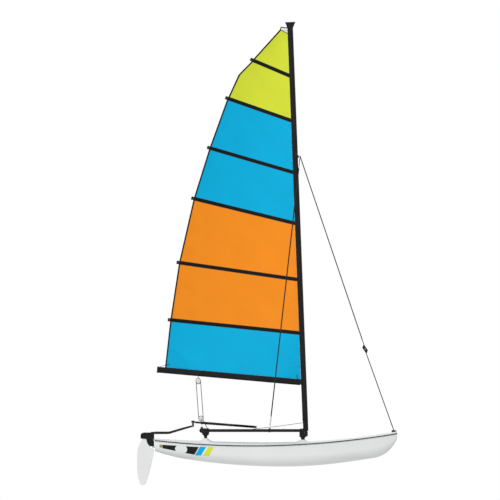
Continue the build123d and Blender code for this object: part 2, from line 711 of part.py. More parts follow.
with BuildPart() as shroud_anchors:
    for anchor, way in zip(ANCHORS, SHROUD_WAYS):
        with BuildSketch(Plane.YZ.offset(ANCHOR_X - ANCHOR_LENGTH / 2)):
            with Locations((anchor.Y, RAIL_Z)):
                Circle(RAIL_RADIUS + ANCHOR_WALL)
                Circle(RAIL_RADIUS, mode=Mode.SUBTRACT)
            with Locations((anchor.Y - math.copysign(RAIL_RADIUS, anchor.Y), RAIL_Z)):
                Rectangle(2 * RAIL_GROOVE_DEPTH, RAIL_GROOVE_HEIGHT, mode=Mode.SUBTRACT)
        extrude(amount=ANCHOR_LENGTH)
        across = (Vector(1, 0, 0) - way * way.X).normalized()
        with BuildSketch(Plane(origin=anchor + way * ANCHOR_LUG_ROOT, x_dir=across, z_dir=way)):
            Rectangle(ANCHOR_LUG[0], ANCHOR_LUG[1])
        extrude(amount=ANCHOR_LUG_TOP - ANCHOR_LUG_ROOT)
shroud_anchors.part.label = "shroud_anchors"
export_step(shroud_anchors.part, "parts/shroud_anchors.step")

with BuildPart() as shroud_adjusters:
    for anchor, way in zip(ANCHORS, SHROUD_WAYS):
        across = (Vector(1, 0, 0) - way * way.X).normalized()
        facing = way.cross(across)
        with BuildSketch(Plane(origin=anchor + way * ANCHOR_LUG_TOP, x_dir=across, z_dir=way)):
            Rectangle(ADJUSTER_SECTION[0], ADJUSTER_SECTION[1])
        extrude(amount=ADJUSTER_LENGTH)
        with BuildSketch(Plane(origin=anchor + way * (ADJUSTER_TOP - FERRULE_ROOT), z_dir=way)):
            Circle(FERRULE_RADIUS)
        extrude(amount=FERRULE_LENGTH + FERRULE_ROOT)
        middle = anchor + way * (ANCHOR_LUG_TOP + ADJUSTER_LENGTH / 2)
        with BuildSketch(Plane(origin=middle, x_dir=way, z_dir=facing)):
            with GridLocations(ADJUSTER_HOLE_PITCH, 0, ADJUSTER_HOLE_COUNT, 1):
                Circle(ADJUSTER_HOLE_RADIUS)
        extrude(amount=ADJUSTER_SECTION[1], both=True, mode=Mode.SUBTRACT)
shroud_adjusters.part.label = "shroud_adjusters"
export_step(shroud_adjusters.part, "parts/shroud_adjusters.step")

with BuildPart() as forestay:
    with BuildSketch(Plane(origin=STAY_JOINT + FORESTAY_WAY * FERRULE_LENGTH, z_dir=FORESTAY_WAY)):
        Circle(WIRE_RADIUS)
    extrude(amount=(LINK_HEAD - STAY_JOINT).length - 2 * FERRULE_LENGTH)
forestay.part.label = "forestay"
export_step(forestay.part, "parts/forestay.step")

with BuildPart() as bridle_link:
    with BuildSketch(Plane.XZ):
        with BuildLine():
            FilletPolyline(LINK_TOP, LINK_FRONT, LINK_FOOT, LINK_REAR, radius=LINK_ROUND, close=True)
        make_face()
        with Locations(((LINK_TOP[0] + LINK_FOOT[0]) / 2, (LINK_TOP[1] + LINK_FOOT[1]) / 2)):
            Circle(LINK_EYE_RADIUS, mode=Mode.SUBTRACT)
    extrude(amount=LINK_THICKNESS / 2, both=True)
    with BuildSketch(Plane(origin=LINK_HEAD + FORESTAY_WAY * LINK_HEAD_ROOT, z_dir=FORESTAY_WAY * -1)):
        Circle(FERRULE_RADIUS)
    extrude(amount=FERRULE_LENGTH + LINK_HEAD_ROOT)
    for way in BRIDLE_WAYS:
        with BuildSketch(Plane(origin=LINK_HEEL - way * LINK_HEEL_ROOT, z_dir=way)):
            Circle(FERRULE_RADIUS)
        extrude(amount=FERRULE_LENGTH + LINK_HEEL_ROOT)
bridle_link.part.label = "bridle_link"
export_step(bridle_link.part, "parts/bridle_link.step")

with BuildPart() as bridle_legs:
    for bow, way in zip(BOW_POINTS, BRIDLE_WAYS):
        with BuildSketch(Plane(origin=LINK_HEEL + way * FERRULE_LENGTH, z_dir=way)):
            Circle(WIRE_RADIUS)
        extrude(amount=(bow - LINK_HEEL).length - 2 * FERRULE_LENGTH)
bridle_legs.part.label = "bridle_legs"
export_step(bridle_legs.part, "parts/bridle_legs.step")

# Bow tangs, seated on the decks
with BuildPart() as bow_tangs:
    for side, bow, way in zip(SIDES, BOW_POINTS, BRIDLE_WAYS):
        with BuildSketch(Plane.XZ.offset(-side * HULL_Y)):
            with BuildLine():
                Polyline(
                    (BOW_TANG_X - BOW_TANG_LENGTH / 2, BOW_TANG_BOTTOM),
                    (BOW_TANG_X + BOW_TANG_LENGTH / 2, BOW_TANG_BOTTOM),
                    (BOW_TANG_X + BOW_TANG_LENGTH / 2, BOW_TANG_TOP),
                    (BOW_TANG_X - BOW_TANG_LENGTH / 2, BOW_TANG_TOP),
                    close=True,
                )
            make_face()
            with Locations((BOW_EYE_X, BOW_EYE_Z)):
                Circle(BOW_EYE_RADIUS, mode=Mode.SUBTRACT)
        extrude(amount=BOW_TANG_WIDTH / 2, both=True)
        with BuildSketch(Plane(origin=bow, z_dir=way * -1)):
            Circle(FERRULE_RADIUS)
        extrude(amount=FERRULE_LENGTH)
    add(deck_starboard.part, mode=Mode.SUBTRACT)
    add(deck_port.part, mode=Mode.SUBTRACT)
bow_tangs.part.label = "bow_tangs"
export_step(bow_tangs.part, "parts/bow_tangs.step")

# Boom, its end cap and the jaws round the mast
BOOM_GOOSENECK = Vector(BOOM_FRONT[0], 0, BOOM_FRONT[1])
BOOM_END = Vector(BOOM_REAR[0], 0, BOOM_REAR[1])
BOOM_WAY = toward(BOOM_GOOSENECK, BOOM_END)
BOOM_UP = Vector(0, 1, 0).cross(BOOM_WAY * -1) * -1
BOOM_LENGTH = (BOOM_END - BOOM_GOOSENECK).length
BOOM_PLANE = Plane(origin=BOOM_GOOSENECK, x_dir=(0, 1, 0), z_dir=BOOM_WAY)

with BuildPart() as boom:
    with BuildSketch(BOOM_PLANE):
        RectangleRounded(BOOM_WIDTH, BOOM_HEIGHT, BOOM_ROUND)
    extrude(amount=BOOM_LENGTH)
boom.part.label = "boom"
export_step(boom.part, "parts/boom.step")

with BuildPart() as boom_cap:
    with BuildSketch(BOOM_PLANE.offset(BOOM_LENGTH)):
        RectangleRounded(BOOM_WIDTH + BOOM_CAP_GROWTH, BOOM_HEIGHT + BOOM_CAP_GROWTH, BOOM_ROUND)
    extrude(amount=BOOM_CAP_LENGTH)
boom_cap.part.label = "boom_cap"
export_step(boom_cap.part, "parts/boom_cap.step")

with BuildPart() as boom_jaws:
    with BuildSketch(BOOM_PLANE):
        RectangleRounded(JAW_WIDTH, JAW_HEIGHT, JAW_ROUND)
    extrude(amount=-JAW_LENGTH)
    with BuildSketch(MAST_PLANE.offset(BOOM_GOOSENECK.Z - MAST_FOOT_Z)):
        with Locations((MAST_NOSE_X, 0)):
            Circle(MAST_NOSE_RADIUS + JAW_CLEARANCE)
        with Locations((MAST_TAIL_X, 0)):
            Circle(MAST_TAIL_RADIUS + JAW_CLEARANCE)
        make_hull()
    extrude(amount=JAW_HEIGHT, both=True, mode=Mode.SUBTRACT)
boom_jaws.part.label = "boom_jaws"
export_step(boom_jaws.part, "parts/boom_jaws.step")

# Sail: panels of cloth between battens, each edge a shallow arc
LEECH = tuple(Vector(along, 0, height) for luff, along, height in BATTENS)
LUFF = tuple(luff_point(luff) for luff, along, height in BATTENS)
PEAK_POINT = Vector(PEAK[0], 0, PEAK[1])
FOOT_LIFT = BOOM_HEIGHT / 2
FOOT_SLOPE = BOOM_WAY.Z / -BOOM_WAY.X
FOOT_BASE = BOOM_GOOSENECK.Z + FOOT_LIFT / -BOOM_WAY.X
TACK = Vector(TACK_X, 0, FOOT_BASE + (BOOM_GOOSENECK.X - TACK_X) * FOOT_SLOPE)
CLEW = Vector(CLEW_X, 0, FOOT_BASE + (BOOM_GOOSENECK.X - CLEW_X) * FOOT_SLOPE)
HEADBOARD_LUFF = luff_point(HEADBOARD_FOOT_Z)
HEAD_LUFF = luff_point(HEADBOARD_FOOT_Z + HEADBOARD_HEIGHT)


def edge_plane(front, back):
    """Plane of a sail edge: local x runs aft along it, local z points up the sail."""
    way = toward(front, back)
    return Plane(origin=front, x_dir=way, z_dir=(way.Z, 0, -way.X))


def shifted(point, way, plane, lift):
    """Where a line through the point along a way meets the plane lifted by an amount."""
    return point + way * (lift / way.dot(plane.z_dir))


HALF_BATTEN = BATTEN_WIDTH / 2
PANEL_EDGES = []
for index in range(len(BATTENS)):
    plane = edge_plane(LUFF[index], LEECH[index])
    above = PEAK_POINT if index == 0 else LEECH[index - 1]
    below = CLEW if index == len(BATTENS) - 1 else LEECH[index + 1]
    PANEL_EDGES.append(
        (
            shifted(LUFF[index], MAST_UP, plane, HALF_BATTEN),
            shifted(LEECH[index], toward(LEECH[index], above), plane, HALF_BATTEN),
            shifted(LUFF[index], MAST_UP, plane, -HALF_BATTEN),
            shifted(LEECH[index], toward(LEECH[index], below), plane, -HALF_BATTEN),
        )
    )

PANELS = [(HEADBOARD_LUFF, PEAK_POINT, PANEL_EDGES[0][0], PANEL_EDGES[0][1], CAMBER)]
for index in range(1, len(BATTENS)):
    upper = PANEL_EDGES[index - 1]
    lower = PANEL_EDGES[index]
    PANELS.append((upper[2], upper[3], lower[0], lower[1], CAMBER))
PANELS.append((PANEL_EDGES[-1][2], PANEL_EDGES[-1][3], TACK, CLEW, FOOT_CAMBER))

# the node of each panel, from the head to the foot
PANEL_NODES = (
    "sail_lime",
    "sail_lime",
    "sail_cyan_upper",
    "sail_cyan_upper",
    "sail_orange",
    "sail_orange",
    "sail_cyan_lower",
)


def cloth_outline(chord, bow_depth, thickness):
    """Lines of a thin arched strip from luff to leech."""
    half = thickness / 2
    ThreePointArc((0, half), (chord / 2, half - bow_depth), (chord, half))
    Line((chord, half), (chord, -half))
    ThreePointArc((chord, -half), (chord / 2, -half - bow_depth), (0, -half))
    Line((0, -half), (0, half))


def panel_edge_planes(panel):
    """Top and bottom edge of a panel as plane, chord and arch depth."""
    top_front, top_back, foot_front, foot_back, foot_camber = panel
    top_chord = (top_back - top_front).length
    foot_chord = (foot_back - foot_front).length
    return (
        (edge_plane(top_front, top_back), top_chord, CAMBER * top_chord),
        (edge_plane(foot_front, foot_back), foot_chord, foot_camber * foot_chord),
    )


for node in dict.fromkeys(PANEL_NODES):
    with BuildPart() as sail_cloth:
        for panel_node, panel in zip(PANEL_NODES, PANELS):
            if panel_node != node:
                continue
            for plane, chord, bow_depth in panel_edge_planes(panel):
                with BuildSketch(plane):
                    with BuildLine():
                        cloth_outline(chord, bow_depth, CLOTH)
                    make_face()
            loft(ruled=True)
    sail_cloth.part.label = node
    export_step(sail_cloth.part, f"parts/{node}.step")

with BuildPart() as battens:
    for top_front, top_back, foot_front, foot_back in PANEL_EDGES:
        for front, back in ((top_front, top_back), (foot_front, foot_back)):
            chord = (back - front).length
            bow_depth = CAMBER * chord
            half = BATTEN_THICKNESS / 2
            rise = BATTEN_STANDOUT * 4 * CAMBER
            tip = chord + BATTEN_STANDOUT
            with BuildSketch(edge_plane(front, back)):
                with BuildLine():
                    ThreePointArc((0, half), (chord / 2, half - bow_depth), (chord, half))
                    Line((chord, half), (tip, half + rise))
                    Line((tip, half + rise), (tip, rise - half))
                    Line((tip, rise - half), (chord, -half))
                    ThreePointArc((chord, -half), (chord / 2, -half - bow_depth), (0, -half))
                    Line((0, -half), (0, half))
                make_face()
        loft(ruled=True)
battens.part.label = "battens"
export_step(battens.part, "parts/battens.step")

HEADBOARD_CORNERS = (
    (HEADBOARD_LUFF.X, HEADBOARD_LUFF.Z),
    (HEAD_LUFF.X, HEAD_LUFF.Z),
    (PEAK_POINT.X, PEAK_POINT.Z),
)
HEADBOARD_MIDDLE = CAMBER * (PEAK_POINT - HEADBOARD_LUFF).length / 2
with BuildPart() as headboard:
    with BuildSketch(Plane.XZ.offset(-HEADBOARD_MIDDLE)):
        with BuildLine():
            Polyline(*HEADBOARD_CORNERS, close=True)
        make_face()
    extrude(amount=HEADBOARD_THICKNESS, both=True)
headboard.part.label = "headboard"
export_step(headboard.part, "parts/headboard.step")

# Gudgeons and pintles on the transoms
with BuildPart() as gudgeons:
    for side in SIDES:
        for height in GUDGEON_HEIGHTS:
            bottom = height - GUDGEON_THICKNESS / 2
            plate_middle = TRANSOM_X - GUDGEON_PLATE[0] / 2
            plate_bottom = height - GUDGEON_PLATE[2] / 2
            with BuildSketch(Plane((plate_middle, side * HULL_Y, plate_bottom))):
                Rectangle(GUDGEON_PLATE[0], GUDGEON_PLATE[1])
            extrude(amount=GUDGEON_PLATE[2])
            with BuildSketch(Plane((PINTLE_X, side * HULL_Y, bottom))):
                Circle(GUDGEON_RING)
                with Locations(((plate_middle - PINTLE_X) / 2, 0)):
                    Rectangle(plate_middle - PINTLE_X, GUDGEON_NECK)
                Circle(PINTLE_RADIUS + PINTLE_CLEARANCE, mode=Mode.SUBTRACT)
            extrude(amount=GUDGEON_THICKNESS)
gudgeons.part.label = "gudgeons"
export_step(gudgeons.part, "parts/gudgeons.step")

with BuildPart() as pintles:
    for side in SIDES:
        with BuildSketch(Plane((PINTLE_X, side * HULL_Y, PINTLE_BOTTOM))):
            Circle(PINTLE_RADIUS)
        extrude(amount=PINTLE_TOP - PINTLE_BOTTOM)
        with BuildSketch(Plane((PINTLE_X, side * HULL_Y, PINTLE_BOTTOM))):
            Circle(PINTLE_FLANGE)
        extrude(amount=GUDGEON_HEIGHTS[0] - GUDGEON_THICKNESS / 2 - PINTLE_BOTTOM)
pintles.part.label = "pintles"
export_step(pintles.part, "parts/pintles.step")

# Rudder stocks: hinge barrel, web, cheeks for the blade and socket for the tiller arm
with BuildPart() as stock_starboard:
    with BuildSketch(Plane((PINTLE_X, -HULL_Y, STOCK_BOTTOM))):
        Circle(BARREL_RADIUS)
        with Locations(((WEB_REAR_X - PINTLE_X) / 2, 0)):
            Rectangle(PINTLE_X - WEB_REAR_X, 2 * STOCK_HALF_WIDTH)
    extrude(amount=SOCKET_BOTTOM + SOCKET_OVERLAP - STOCK_BOTTOM)
    for side in SIDES:
        offset = HULL_Y + side * (STOCK_HALF_WIDTH + CHEEK_INNER) / 2
        with BuildSketch(Plane.XZ.offset(offset)):
            with BuildLine():
                Polyline(*behind_hinge(CHEEK_OUTLINE), close=True)
            make_face()
        extrude(amount=(STOCK_HALF_WIDTH - CHEEK_INNER) / 2, both=True)
    with BuildSketch(Plane.XZ.offset(HULL_Y)):
        with BuildLine():
            Polyline(
                (WEB_REAR_X + BRIDGE_OVERLAP, BRIDGE_BOTTOM),
                (WEB_REAR_X + BRIDGE_OVERLAP, STOCK_TOP),
                (WEB_REAR_X + BRIDGE_OVERLAP - BRIDGE_LENGTH, STOCK_TOP),
                (WEB_REAR_X + BRIDGE_OVERLAP - BRIDGE_LENGTH, BRIDGE_BOTTOM),
                close=True,
            )
        make_face()
        with BuildLine():
            Polyline(
                (SOCKET_FRONT_X - SOCKET_LENGTH, SOCKET_BOTTOM),
                (SOCKET_FRONT_X, SOCKET_BOTTOM),
                (SOCKET_FRONT_X, SOCKET_TOP),
                (SOCKET_FRONT_X - SOCKET_LENGTH, SOCKET_TOP),
                close=True,
            )
        make_face()
    extrude(amount=STOCK_HALF_WIDTH, both=True)
    with BuildSketch(Plane((PINTLE_X, -HULL_Y, NOTCH_BOTTOM))):
        Circle(NOTCH_RADIUS)
        with Locations((NOTCH_RADIUS, 0)):
            Rectangle(2 * NOTCH_RADIUS, 4 * NOTCH_RADIUS)
    extrude(amount=NOTCH_TOP - NOTCH_BOTTOM, mode=Mode.SUBTRACT)
    with BuildSketch(Plane((PINTLE_X, -HULL_Y, STOCK_BOTTOM))):
        Circle(PINTLE_RADIUS + PINTLE_CLEARANCE)
    extrude(amount=PINTLE_TOP + PINTLE_END_GAP - STOCK_BOTTOM, mode=Mode.SUBTRACT)
    with BuildSketch(Plane.XZ.offset(HULL_Y)):
        with Locations(BLADE_PIN):
            Circle(BLADE_PIN_RADIUS + BLADE_PIN_CLEARANCE)
    extrude(amount=STOCK_HALF_WIDTH, both=True, mode=Mode.SUBTRACT)
stock_starboard.part.label = "stock_starboard"
export_step(stock_starboard.part, "parts/stock_starboard.step")

with BuildPart() as stock_port:
    mirror(stock_starboard.part, about=Plane.XZ)
stock_port.part.label = "stock_port"
export_step(stock_port.part, "parts/stock_port.step")

with BuildPart() as pivot_bolt_starboard:
    with BuildSketch(Plane.XZ.offset(HULL_Y)):
        with Locations(BLADE_PIN):
            Circle(BLADE_PIN_RADIUS)
    extrude(amount=STOCK_HALF_WIDTH + BLADE_PIN_HEAD_HEIGHT, both=True)
    for side in SIDES:
        with BuildSketch(Plane.XZ.offset(HULL_Y + side * (STOCK_HALF_WIDTH + BLADE_PIN_HEAD_HEIGHT / 2))):
            with Locations(BLADE_PIN):
                RegularPolygon(BLADE_PIN_HEAD, 6)
        extrude(amount=BLADE_PIN_HEAD_HEIGHT / 2, both=True)
pivot_bolt_starboard.part.label = "pivot_bolt_starboard"
export_step(pivot_bolt_starboard.part, "parts/pivot_bolt_starboard.step")

with BuildPart() as pivot_bolt_port:
    mirror(pivot_bolt_starboard.part, about=Plane.XZ)
pivot_bolt_port.part.label = "pivot_bolt_port"
export_step(pivot_bolt_port.part, "parts/pivot_bolt_port.step")

# Rudder blades, hung on the pivot bolts
BLADE_ARCS = (
    (BLADE_FRONT[-1], BLADE_LEADING_MIDDLE, BLADE_TIP_FRONT),
    (BLADE_TIP_FRONT, BLADE_TIP, BLADE_TIP_REAR),
    (BLADE_TIP_REAR, BLADE_TRAILING_LOW, BLADE_TRAILING_REAR),
    (BLADE_TRAILING_HIGH, BLADE_TRAILING_UPPER, BLADE_SHOULDER),
)
with BuildPart() as blade_starboard:
    with BuildSketch(Plane.XZ.offset(HULL_Y)):
        with BuildLine():
            Polyline((BLADE_PIN[0] + BLADE_HEAD_RADIUS, BLADE_PIN[1]), *behind_hinge(BLADE_FRONT))
            for bend in BLADE_ARCS:
                ThreePointArc(*behind_hinge(bend))
            Polyline(
                *behind_hinge((BLADE_SHOULDER,)),
                (BLADE_PIN[0] - BLADE_HEAD_RADIUS, BLADE_PIN[1]),
            )
            Line(*behind_hinge((BLADE_TRAILING_REAR, BLADE_TRAILING_HIGH)))
            ThreePointArc(
                (BLADE_PIN[0] - BLADE_HEAD_RADIUS, BLADE_PIN[1]),
                (BLADE_PIN[0], BLADE_PIN[1] + BLADE_HEAD_RADIUS),
                (BLADE_PIN[0] + BLADE_HEAD_RADIUS, BLADE_PIN[1]),
            )
        make_face()
    extrude(amount=BLADE_THICKNESS / 2, both=True)
    side_edges = blade_starboard.edges().filter_by(lambda edge: edge.center().Z < BLADE_FRONT[-1][1])
    fillet(side_edges.filter_by(Axis.Y, reverse=True), BLADE_EDGE)
    with BuildSketch(Plane.XZ.offset(HULL_Y)):
        with Locations(BLADE_PIN):
            Circle(BLADE_PIN_RADIUS + BLADE_PIN_CLEARANCE)
    extrude(amount=BLADE_THICKNESS, both=True, mode=Mode.SUBTRACT)
blade_starboard.part.label = "blade_starboard"
export_step(blade_starboard.part, "parts/blade_starboard.step")

with BuildPart() as blade_port:
    mirror(blade_starboard.part, about=Plane.XZ)
blade_port.part.label = "blade_port"
export_step(blade_port.part, "parts/blade_port.step")

# Tiller arms with the pins that carry the tiller bar
ARM_POINTS = [(PINTLE_X + ahead, height) for ahead, height in ARM_PATH]
ARM_START = Vector(ARM_PATH[1][0] - ARM_PATH[0][0], 0, ARM_PATH[1][1] - ARM_PATH[0][1])
with BuildPart() as tiller_arm_starboard:
    with BuildLine(Plane.XZ.offset(HULL_Y)):
        FilletPolyline(*ARM_POINTS, radius=ARM_BEND)
    with BuildSketch(Plane(origin=(ARM_POINTS[0][0], -HULL_Y, ARM_POINTS[0][1]), z_dir=ARM_START)):
        Circle(ARM_RADIUS)
    sweep()
    with BuildSketch(Plane((ARM_EYE_X, -HULL_Y, ARM_EYE_BOTTOM))):
        Circle(ARM_EYE_RADIUS)
    extrude(amount=ARM_EYE_TOP - ARM_EYE_BOTTOM)
    with BuildSketch(Plane((ARM_EYE_X, -HULL_Y, ARM_EYE_TOP - BAR_PIN_ROOT))):
        Circle(BAR_PIN_RADIUS)
    extrude(amount=BAR_PIN_TOP + BAR_PIN_ROOT - ARM_EYE_TOP)
    with BuildSketch(Plane((ARM_EYE_X, -HULL_Y, BAR_PIN_TOP - BAR_PIN_HEAD_HEIGHT))):
        Circle(BAR_PIN_HEAD_RADIUS)
    extrude(amount=BAR_PIN_HEAD_HEIGHT)
tiller_arm_starboard.part.label = "tiller_arm_starboard"
export_step(tiller_arm_starboard.part, "parts/tiller_arm_starboard.step")

with BuildPart() as tiller_arm_port:
    mirror(tiller_arm_starboard.part, about=Plane.XZ)
tiller_arm_port.part.label = "tiller_arm_port"
export_step(tiller_arm_port.part, "parts/tiller_arm_port.step")

# Tiller bar across the boat, with the swivel for the extension
BAR_EYE_BOTTOM = BAR_Z - BAR_EYE_HEIGHT / 2
with BuildPart() as tiller_bar:
    with BuildSketch(Plane.XZ):
        with Locations((ARM_EYE_X, BAR_Z)):
            Circle(BAR_RADIUS)
    extrude(amount=HULL_Y, both=True)
    for side in SIDES:
        with BuildSketch(Plane((ARM_EYE_X, side * HULL_Y, BAR_EYE_BOTTOM))):
            Circle(ARM_EYE_RADIUS)
        extrude(amount=BAR_EYE_HEIGHT)
        with BuildSketch(Plane((ARM_EYE_X, side * HULL_Y, BAR_EYE_BOTTOM))):
            Circle(BAR_PIN_RADIUS + BAR_PIN_CLEARANCE)
        extrude(amount=BAR_EYE_HEIGHT, mode=Mode.SUBTRACT)
    with BuildSketch(Plane((ARM_EYE_X, 0, SWIVEL_BOTTOM))):
        Circle(SWIVEL_RADIUS)
    extrude(amount=SWIVEL_TOP - SWIVEL_BOTTOM)
    with BuildSketch(Plane((ARM_EYE_X, 0, SWIVEL_TOP - BAR_PIN_ROOT))):
        Circle(BAR_PIN_RADIUS)
    extrude(amount=SWIVEL_PIN_TOP + BAR_PIN_ROOT - SWIVEL_TOP)
    with BuildSketch(Plane((ARM_EYE_X, 0, SWIVEL_PIN_TOP - BAR_PIN_HEAD_HEIGHT))):
        Circle(BAR_PIN_HEAD_RADIUS)
    extrude(amount=BAR_PIN_HEAD_HEIGHT)
tiller_bar.part.label = "tiller_bar"
export_step(tiller_bar.part, "parts/tiller_bar.step")

# Tiller extension, lying forward and a little to starboard
TURN = math.radians(STICK_TURN)
DROP = math.radians(STICK_DROP)
STICK_WAY = Vector(
    math.cos(TURN) * math.cos(DROP),
    -math.sin(TURN) * math.cos(DROP),
    -math.sin(DROP),
)
STICK_ROOT = Vector(ARM_EYE_X, 0, STICK_Z)
with BuildPart() as tiller_extension:
    with BuildSketch(Plane((ARM_EYE_X, 0, STICK_BOTTOM))):
        Circle(STICK_EYE_RADIUS)
    extrude(amount=STICK_TOP - STICK_BOTTOM)
    with BuildSketch(Plane(origin=STICK_ROOT + STICK_WAY * STICK_NECK_START, z_dir=STICK_WAY)):
        Circle(STICK_NECK_RADIUS)
    extrude(amount=STICK_NECK_LENGTH)
    with BuildSketch(Plane(origin=STICK_ROOT + STICK_WAY * STICK_START, z_dir=STICK_WAY)):
        Circle(STICK_RADIUS)
    extrude(amount=STICK_LENGTH - STICK_START)
    with BuildSketch(Plane((ARM_EYE_X, 0, STICK_Z))):
        Circle(BAR_PIN_RADIUS + BAR_PIN_CLEARANCE)
    extrude(amount=STICK_TOP - STICK_BOTTOM, both=True, mode=Mode.SUBTRACT)
tiller_extension.part.label = "tiller_extension"
export_step(tiller_extension.part, "parts/tiller_extension.step")
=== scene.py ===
"""Dresses the beach catamaran: finishes, sailcloth, running rigging and small fittings."""
from __future__ import annotations

import json
import logging
import math
from dataclasses import dataclass
from enum import Enum
from itertools import product
from typing import Callable, Optional, Sequence, Union

import bmesh
import bpy
from mathutils import Matrix, Vector, noise

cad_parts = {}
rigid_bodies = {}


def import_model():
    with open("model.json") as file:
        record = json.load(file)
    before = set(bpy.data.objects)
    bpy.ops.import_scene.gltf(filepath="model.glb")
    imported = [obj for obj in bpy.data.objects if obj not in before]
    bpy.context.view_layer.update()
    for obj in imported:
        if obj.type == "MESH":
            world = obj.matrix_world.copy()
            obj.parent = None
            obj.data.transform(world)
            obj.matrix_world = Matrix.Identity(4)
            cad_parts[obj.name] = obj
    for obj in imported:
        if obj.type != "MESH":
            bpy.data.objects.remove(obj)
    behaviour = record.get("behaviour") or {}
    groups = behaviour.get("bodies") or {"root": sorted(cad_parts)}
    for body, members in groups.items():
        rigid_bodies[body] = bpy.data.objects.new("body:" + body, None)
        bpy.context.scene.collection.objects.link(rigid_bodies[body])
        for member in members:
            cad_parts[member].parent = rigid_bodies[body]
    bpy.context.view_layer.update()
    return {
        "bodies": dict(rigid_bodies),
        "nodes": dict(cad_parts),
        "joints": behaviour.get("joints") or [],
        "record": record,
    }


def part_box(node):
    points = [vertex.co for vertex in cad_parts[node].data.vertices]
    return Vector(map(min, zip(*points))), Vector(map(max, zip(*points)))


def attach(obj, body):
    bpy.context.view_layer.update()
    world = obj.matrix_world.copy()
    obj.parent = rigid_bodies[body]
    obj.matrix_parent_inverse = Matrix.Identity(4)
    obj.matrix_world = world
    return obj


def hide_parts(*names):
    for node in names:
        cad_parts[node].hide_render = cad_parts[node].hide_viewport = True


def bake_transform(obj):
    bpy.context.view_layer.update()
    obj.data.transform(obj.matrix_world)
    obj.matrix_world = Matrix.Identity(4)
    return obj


LOG = logging.getLogger("catamaran")
SIDES = {"starboard": -1.0, "port": 1.0}
SIGNS = tuple(SIDES.values())
TURN = 2.0 * math.pi
AHEAD, AFT, PORT, UP = (1.0, 0.0, 0.0), (-1.0, 0.0, 0.0), (0.0, 1.0, 0.0), (0.0, 0.0, 1.0)
# distance of a hull's middle plane from the boat's
HULL_ACROSS = 1.005

Colour = tuple[float, float, float]
Place = Union[Vector, Sequence[float]]
Piece = bpy.types.Object
Socket = bpy.types.NodeSocket
Relief = tuple[Socket, Socket]


def screen(red: float, green: float, blue: float) -> Colour:
    """Linear colour, as shaders take it, of a screen colour with parts from 0 to 255."""
    shares = (value / 255.0 for value in (red, green, blue))
    return tuple(s / 12.92 if s <= 0.04045 else ((s + 0.055) / 1.055) ** 2.4 for s in shares)


def mixed(start: Place, end: Place, share: float) -> Vector:
    """Point between two points, at a share of the way."""
    return Vector(start).lerp(Vector(end), share)


def spaced(start: float, end: float, runs: int) -> list[float]:
    """Evenly spaced numbers from start to end."""
    return [start + (end - start) * step / runs for step in range(runs + 1)]


def sideways(distance: float) -> Vector:
    """Shift to port by a distance."""
    return Vector((0.0, distance, 0.0))


def square_to(run: Vector) -> Vector:
    """Direction in the boat's upright middle plane, square to a run in it."""
    way = run.normalized()
    return Vector((way.z, 0.0, -way.x))


def turned(first: Vector, second: Vector) -> Matrix:
    """Turn whose local X and Y axes run along two directions that are square to each other."""
    return Matrix((first, second, first.cross(second))).transposed().to_4x4()


def frame_along(origin: Place, way: Place, up: Place = UP) -> Matrix:
    """Placement whose local Z runs along a direction.

    Args:
        origin: Where the local origin goes.
        way: Direction of the local Z axis.
        up: Direction that the local Y axis leans to.

    Returns:
        The placement as a matrix.
    """
    z_axis = Vector(way).normalized()
    sides = (Vector(lean).cross(z_axis) for lean in (up, AHEAD, PORT))
    x_axis = next(side for side in sides if side.length > 1e-6).normalized()
    return Matrix.Translation(Vector(origin)) @ turned(x_axis, z_axis.cross(x_axis))


class NodeBench:
    """Places and links the nodes of one shader tree."""

    def __init__(self, tree: bpy.types.NodeTree) -> None:
        """Keep the tree that the nodes go into."""
        self.tree = tree

    def feed(self, socket: Socket, value: object) -> None:
        """Link a socket to another one, or set its value.

        Args:
            socket: The input to fill.
            value: An output socket, a number or a colour.
        """
        if isinstance(value, Socket):
            self.tree.links.new(value, socket)
        elif value is not None:
            socket.default_value = value

    def node(self, kind: str, inputs: Optional[dict] = None, **settings: object) -> bpy.types.Node:
        """Add a node.

        Args:
            kind: The node's type.
            inputs: Values or links by input name or number.
            **settings: Properties of the node itself.

        Returns:
            The new node.
        """
        made = self.tree.nodes.new(kind)
        for key, value in settings.items():
            setattr(made, key, value)
        for key, value in (inputs or {}).items():
            self.feed(made.inputs[key], value)
        return made

    def math(self, operation: str, first: object, second: object = None) -> Socket:
        """Result of one arithmetic node."""
        made = self.node("ShaderNodeMath", {0: first, 1: second}, operation=operation)
        return made.outputs[0]

    def noise(self, vector: object, scale: object, detail: float = 2.0) -> Socket:
        """Value of a noise pattern."""
        inputs = {"Vector": vector, "Scale": scale, "Detail": detail}
        return self.node("ShaderNodeTexNoise", inputs).outputs["Fac"]

    def window(self, value: object, low: float, high: float) -> Socket:
        """Value spread from 0 at a low limit to 1 at a high one, and held there."""
        made = self.node("ShaderNodeMapRange", {0: value, 1: low, 2: high, 3: 0.0, 4: 1.0})
        return made.outputs[0]

    def blend(self, factor: object, first: object, second: object) -> Socket:
        """Colour between two colours.

        Args:
            factor: Share of the second colour.
            first: The first colour.
            second: The second one.

        Returns:
            The socket of the mixed colour.
        """
        made = self.node("ShaderNodeMix", data_type="RGBA")
        for index, value in ((0, factor), (6, first), (7, second)):
            if isinstance(value, tuple):
                value = (*value, 1.0)
            self.feed(made.inputs[index], value)
        return made.outputs[2]


class Texture(Enum):
    """Surface structures that a finish can have."""

    GELCOAT = "gelcoat_ripple"
    GRIP = "moulded_grip"
    WEAVE = "sailcloth_weave"
    MESH = "open_mesh"
    BRAID = "rope_braid"
    DRAWN = "drawn_streaks"
    CAST = "cast_grain"
    STITCHED = "stitched_tape"
    MOULDED = "moulded_grain"


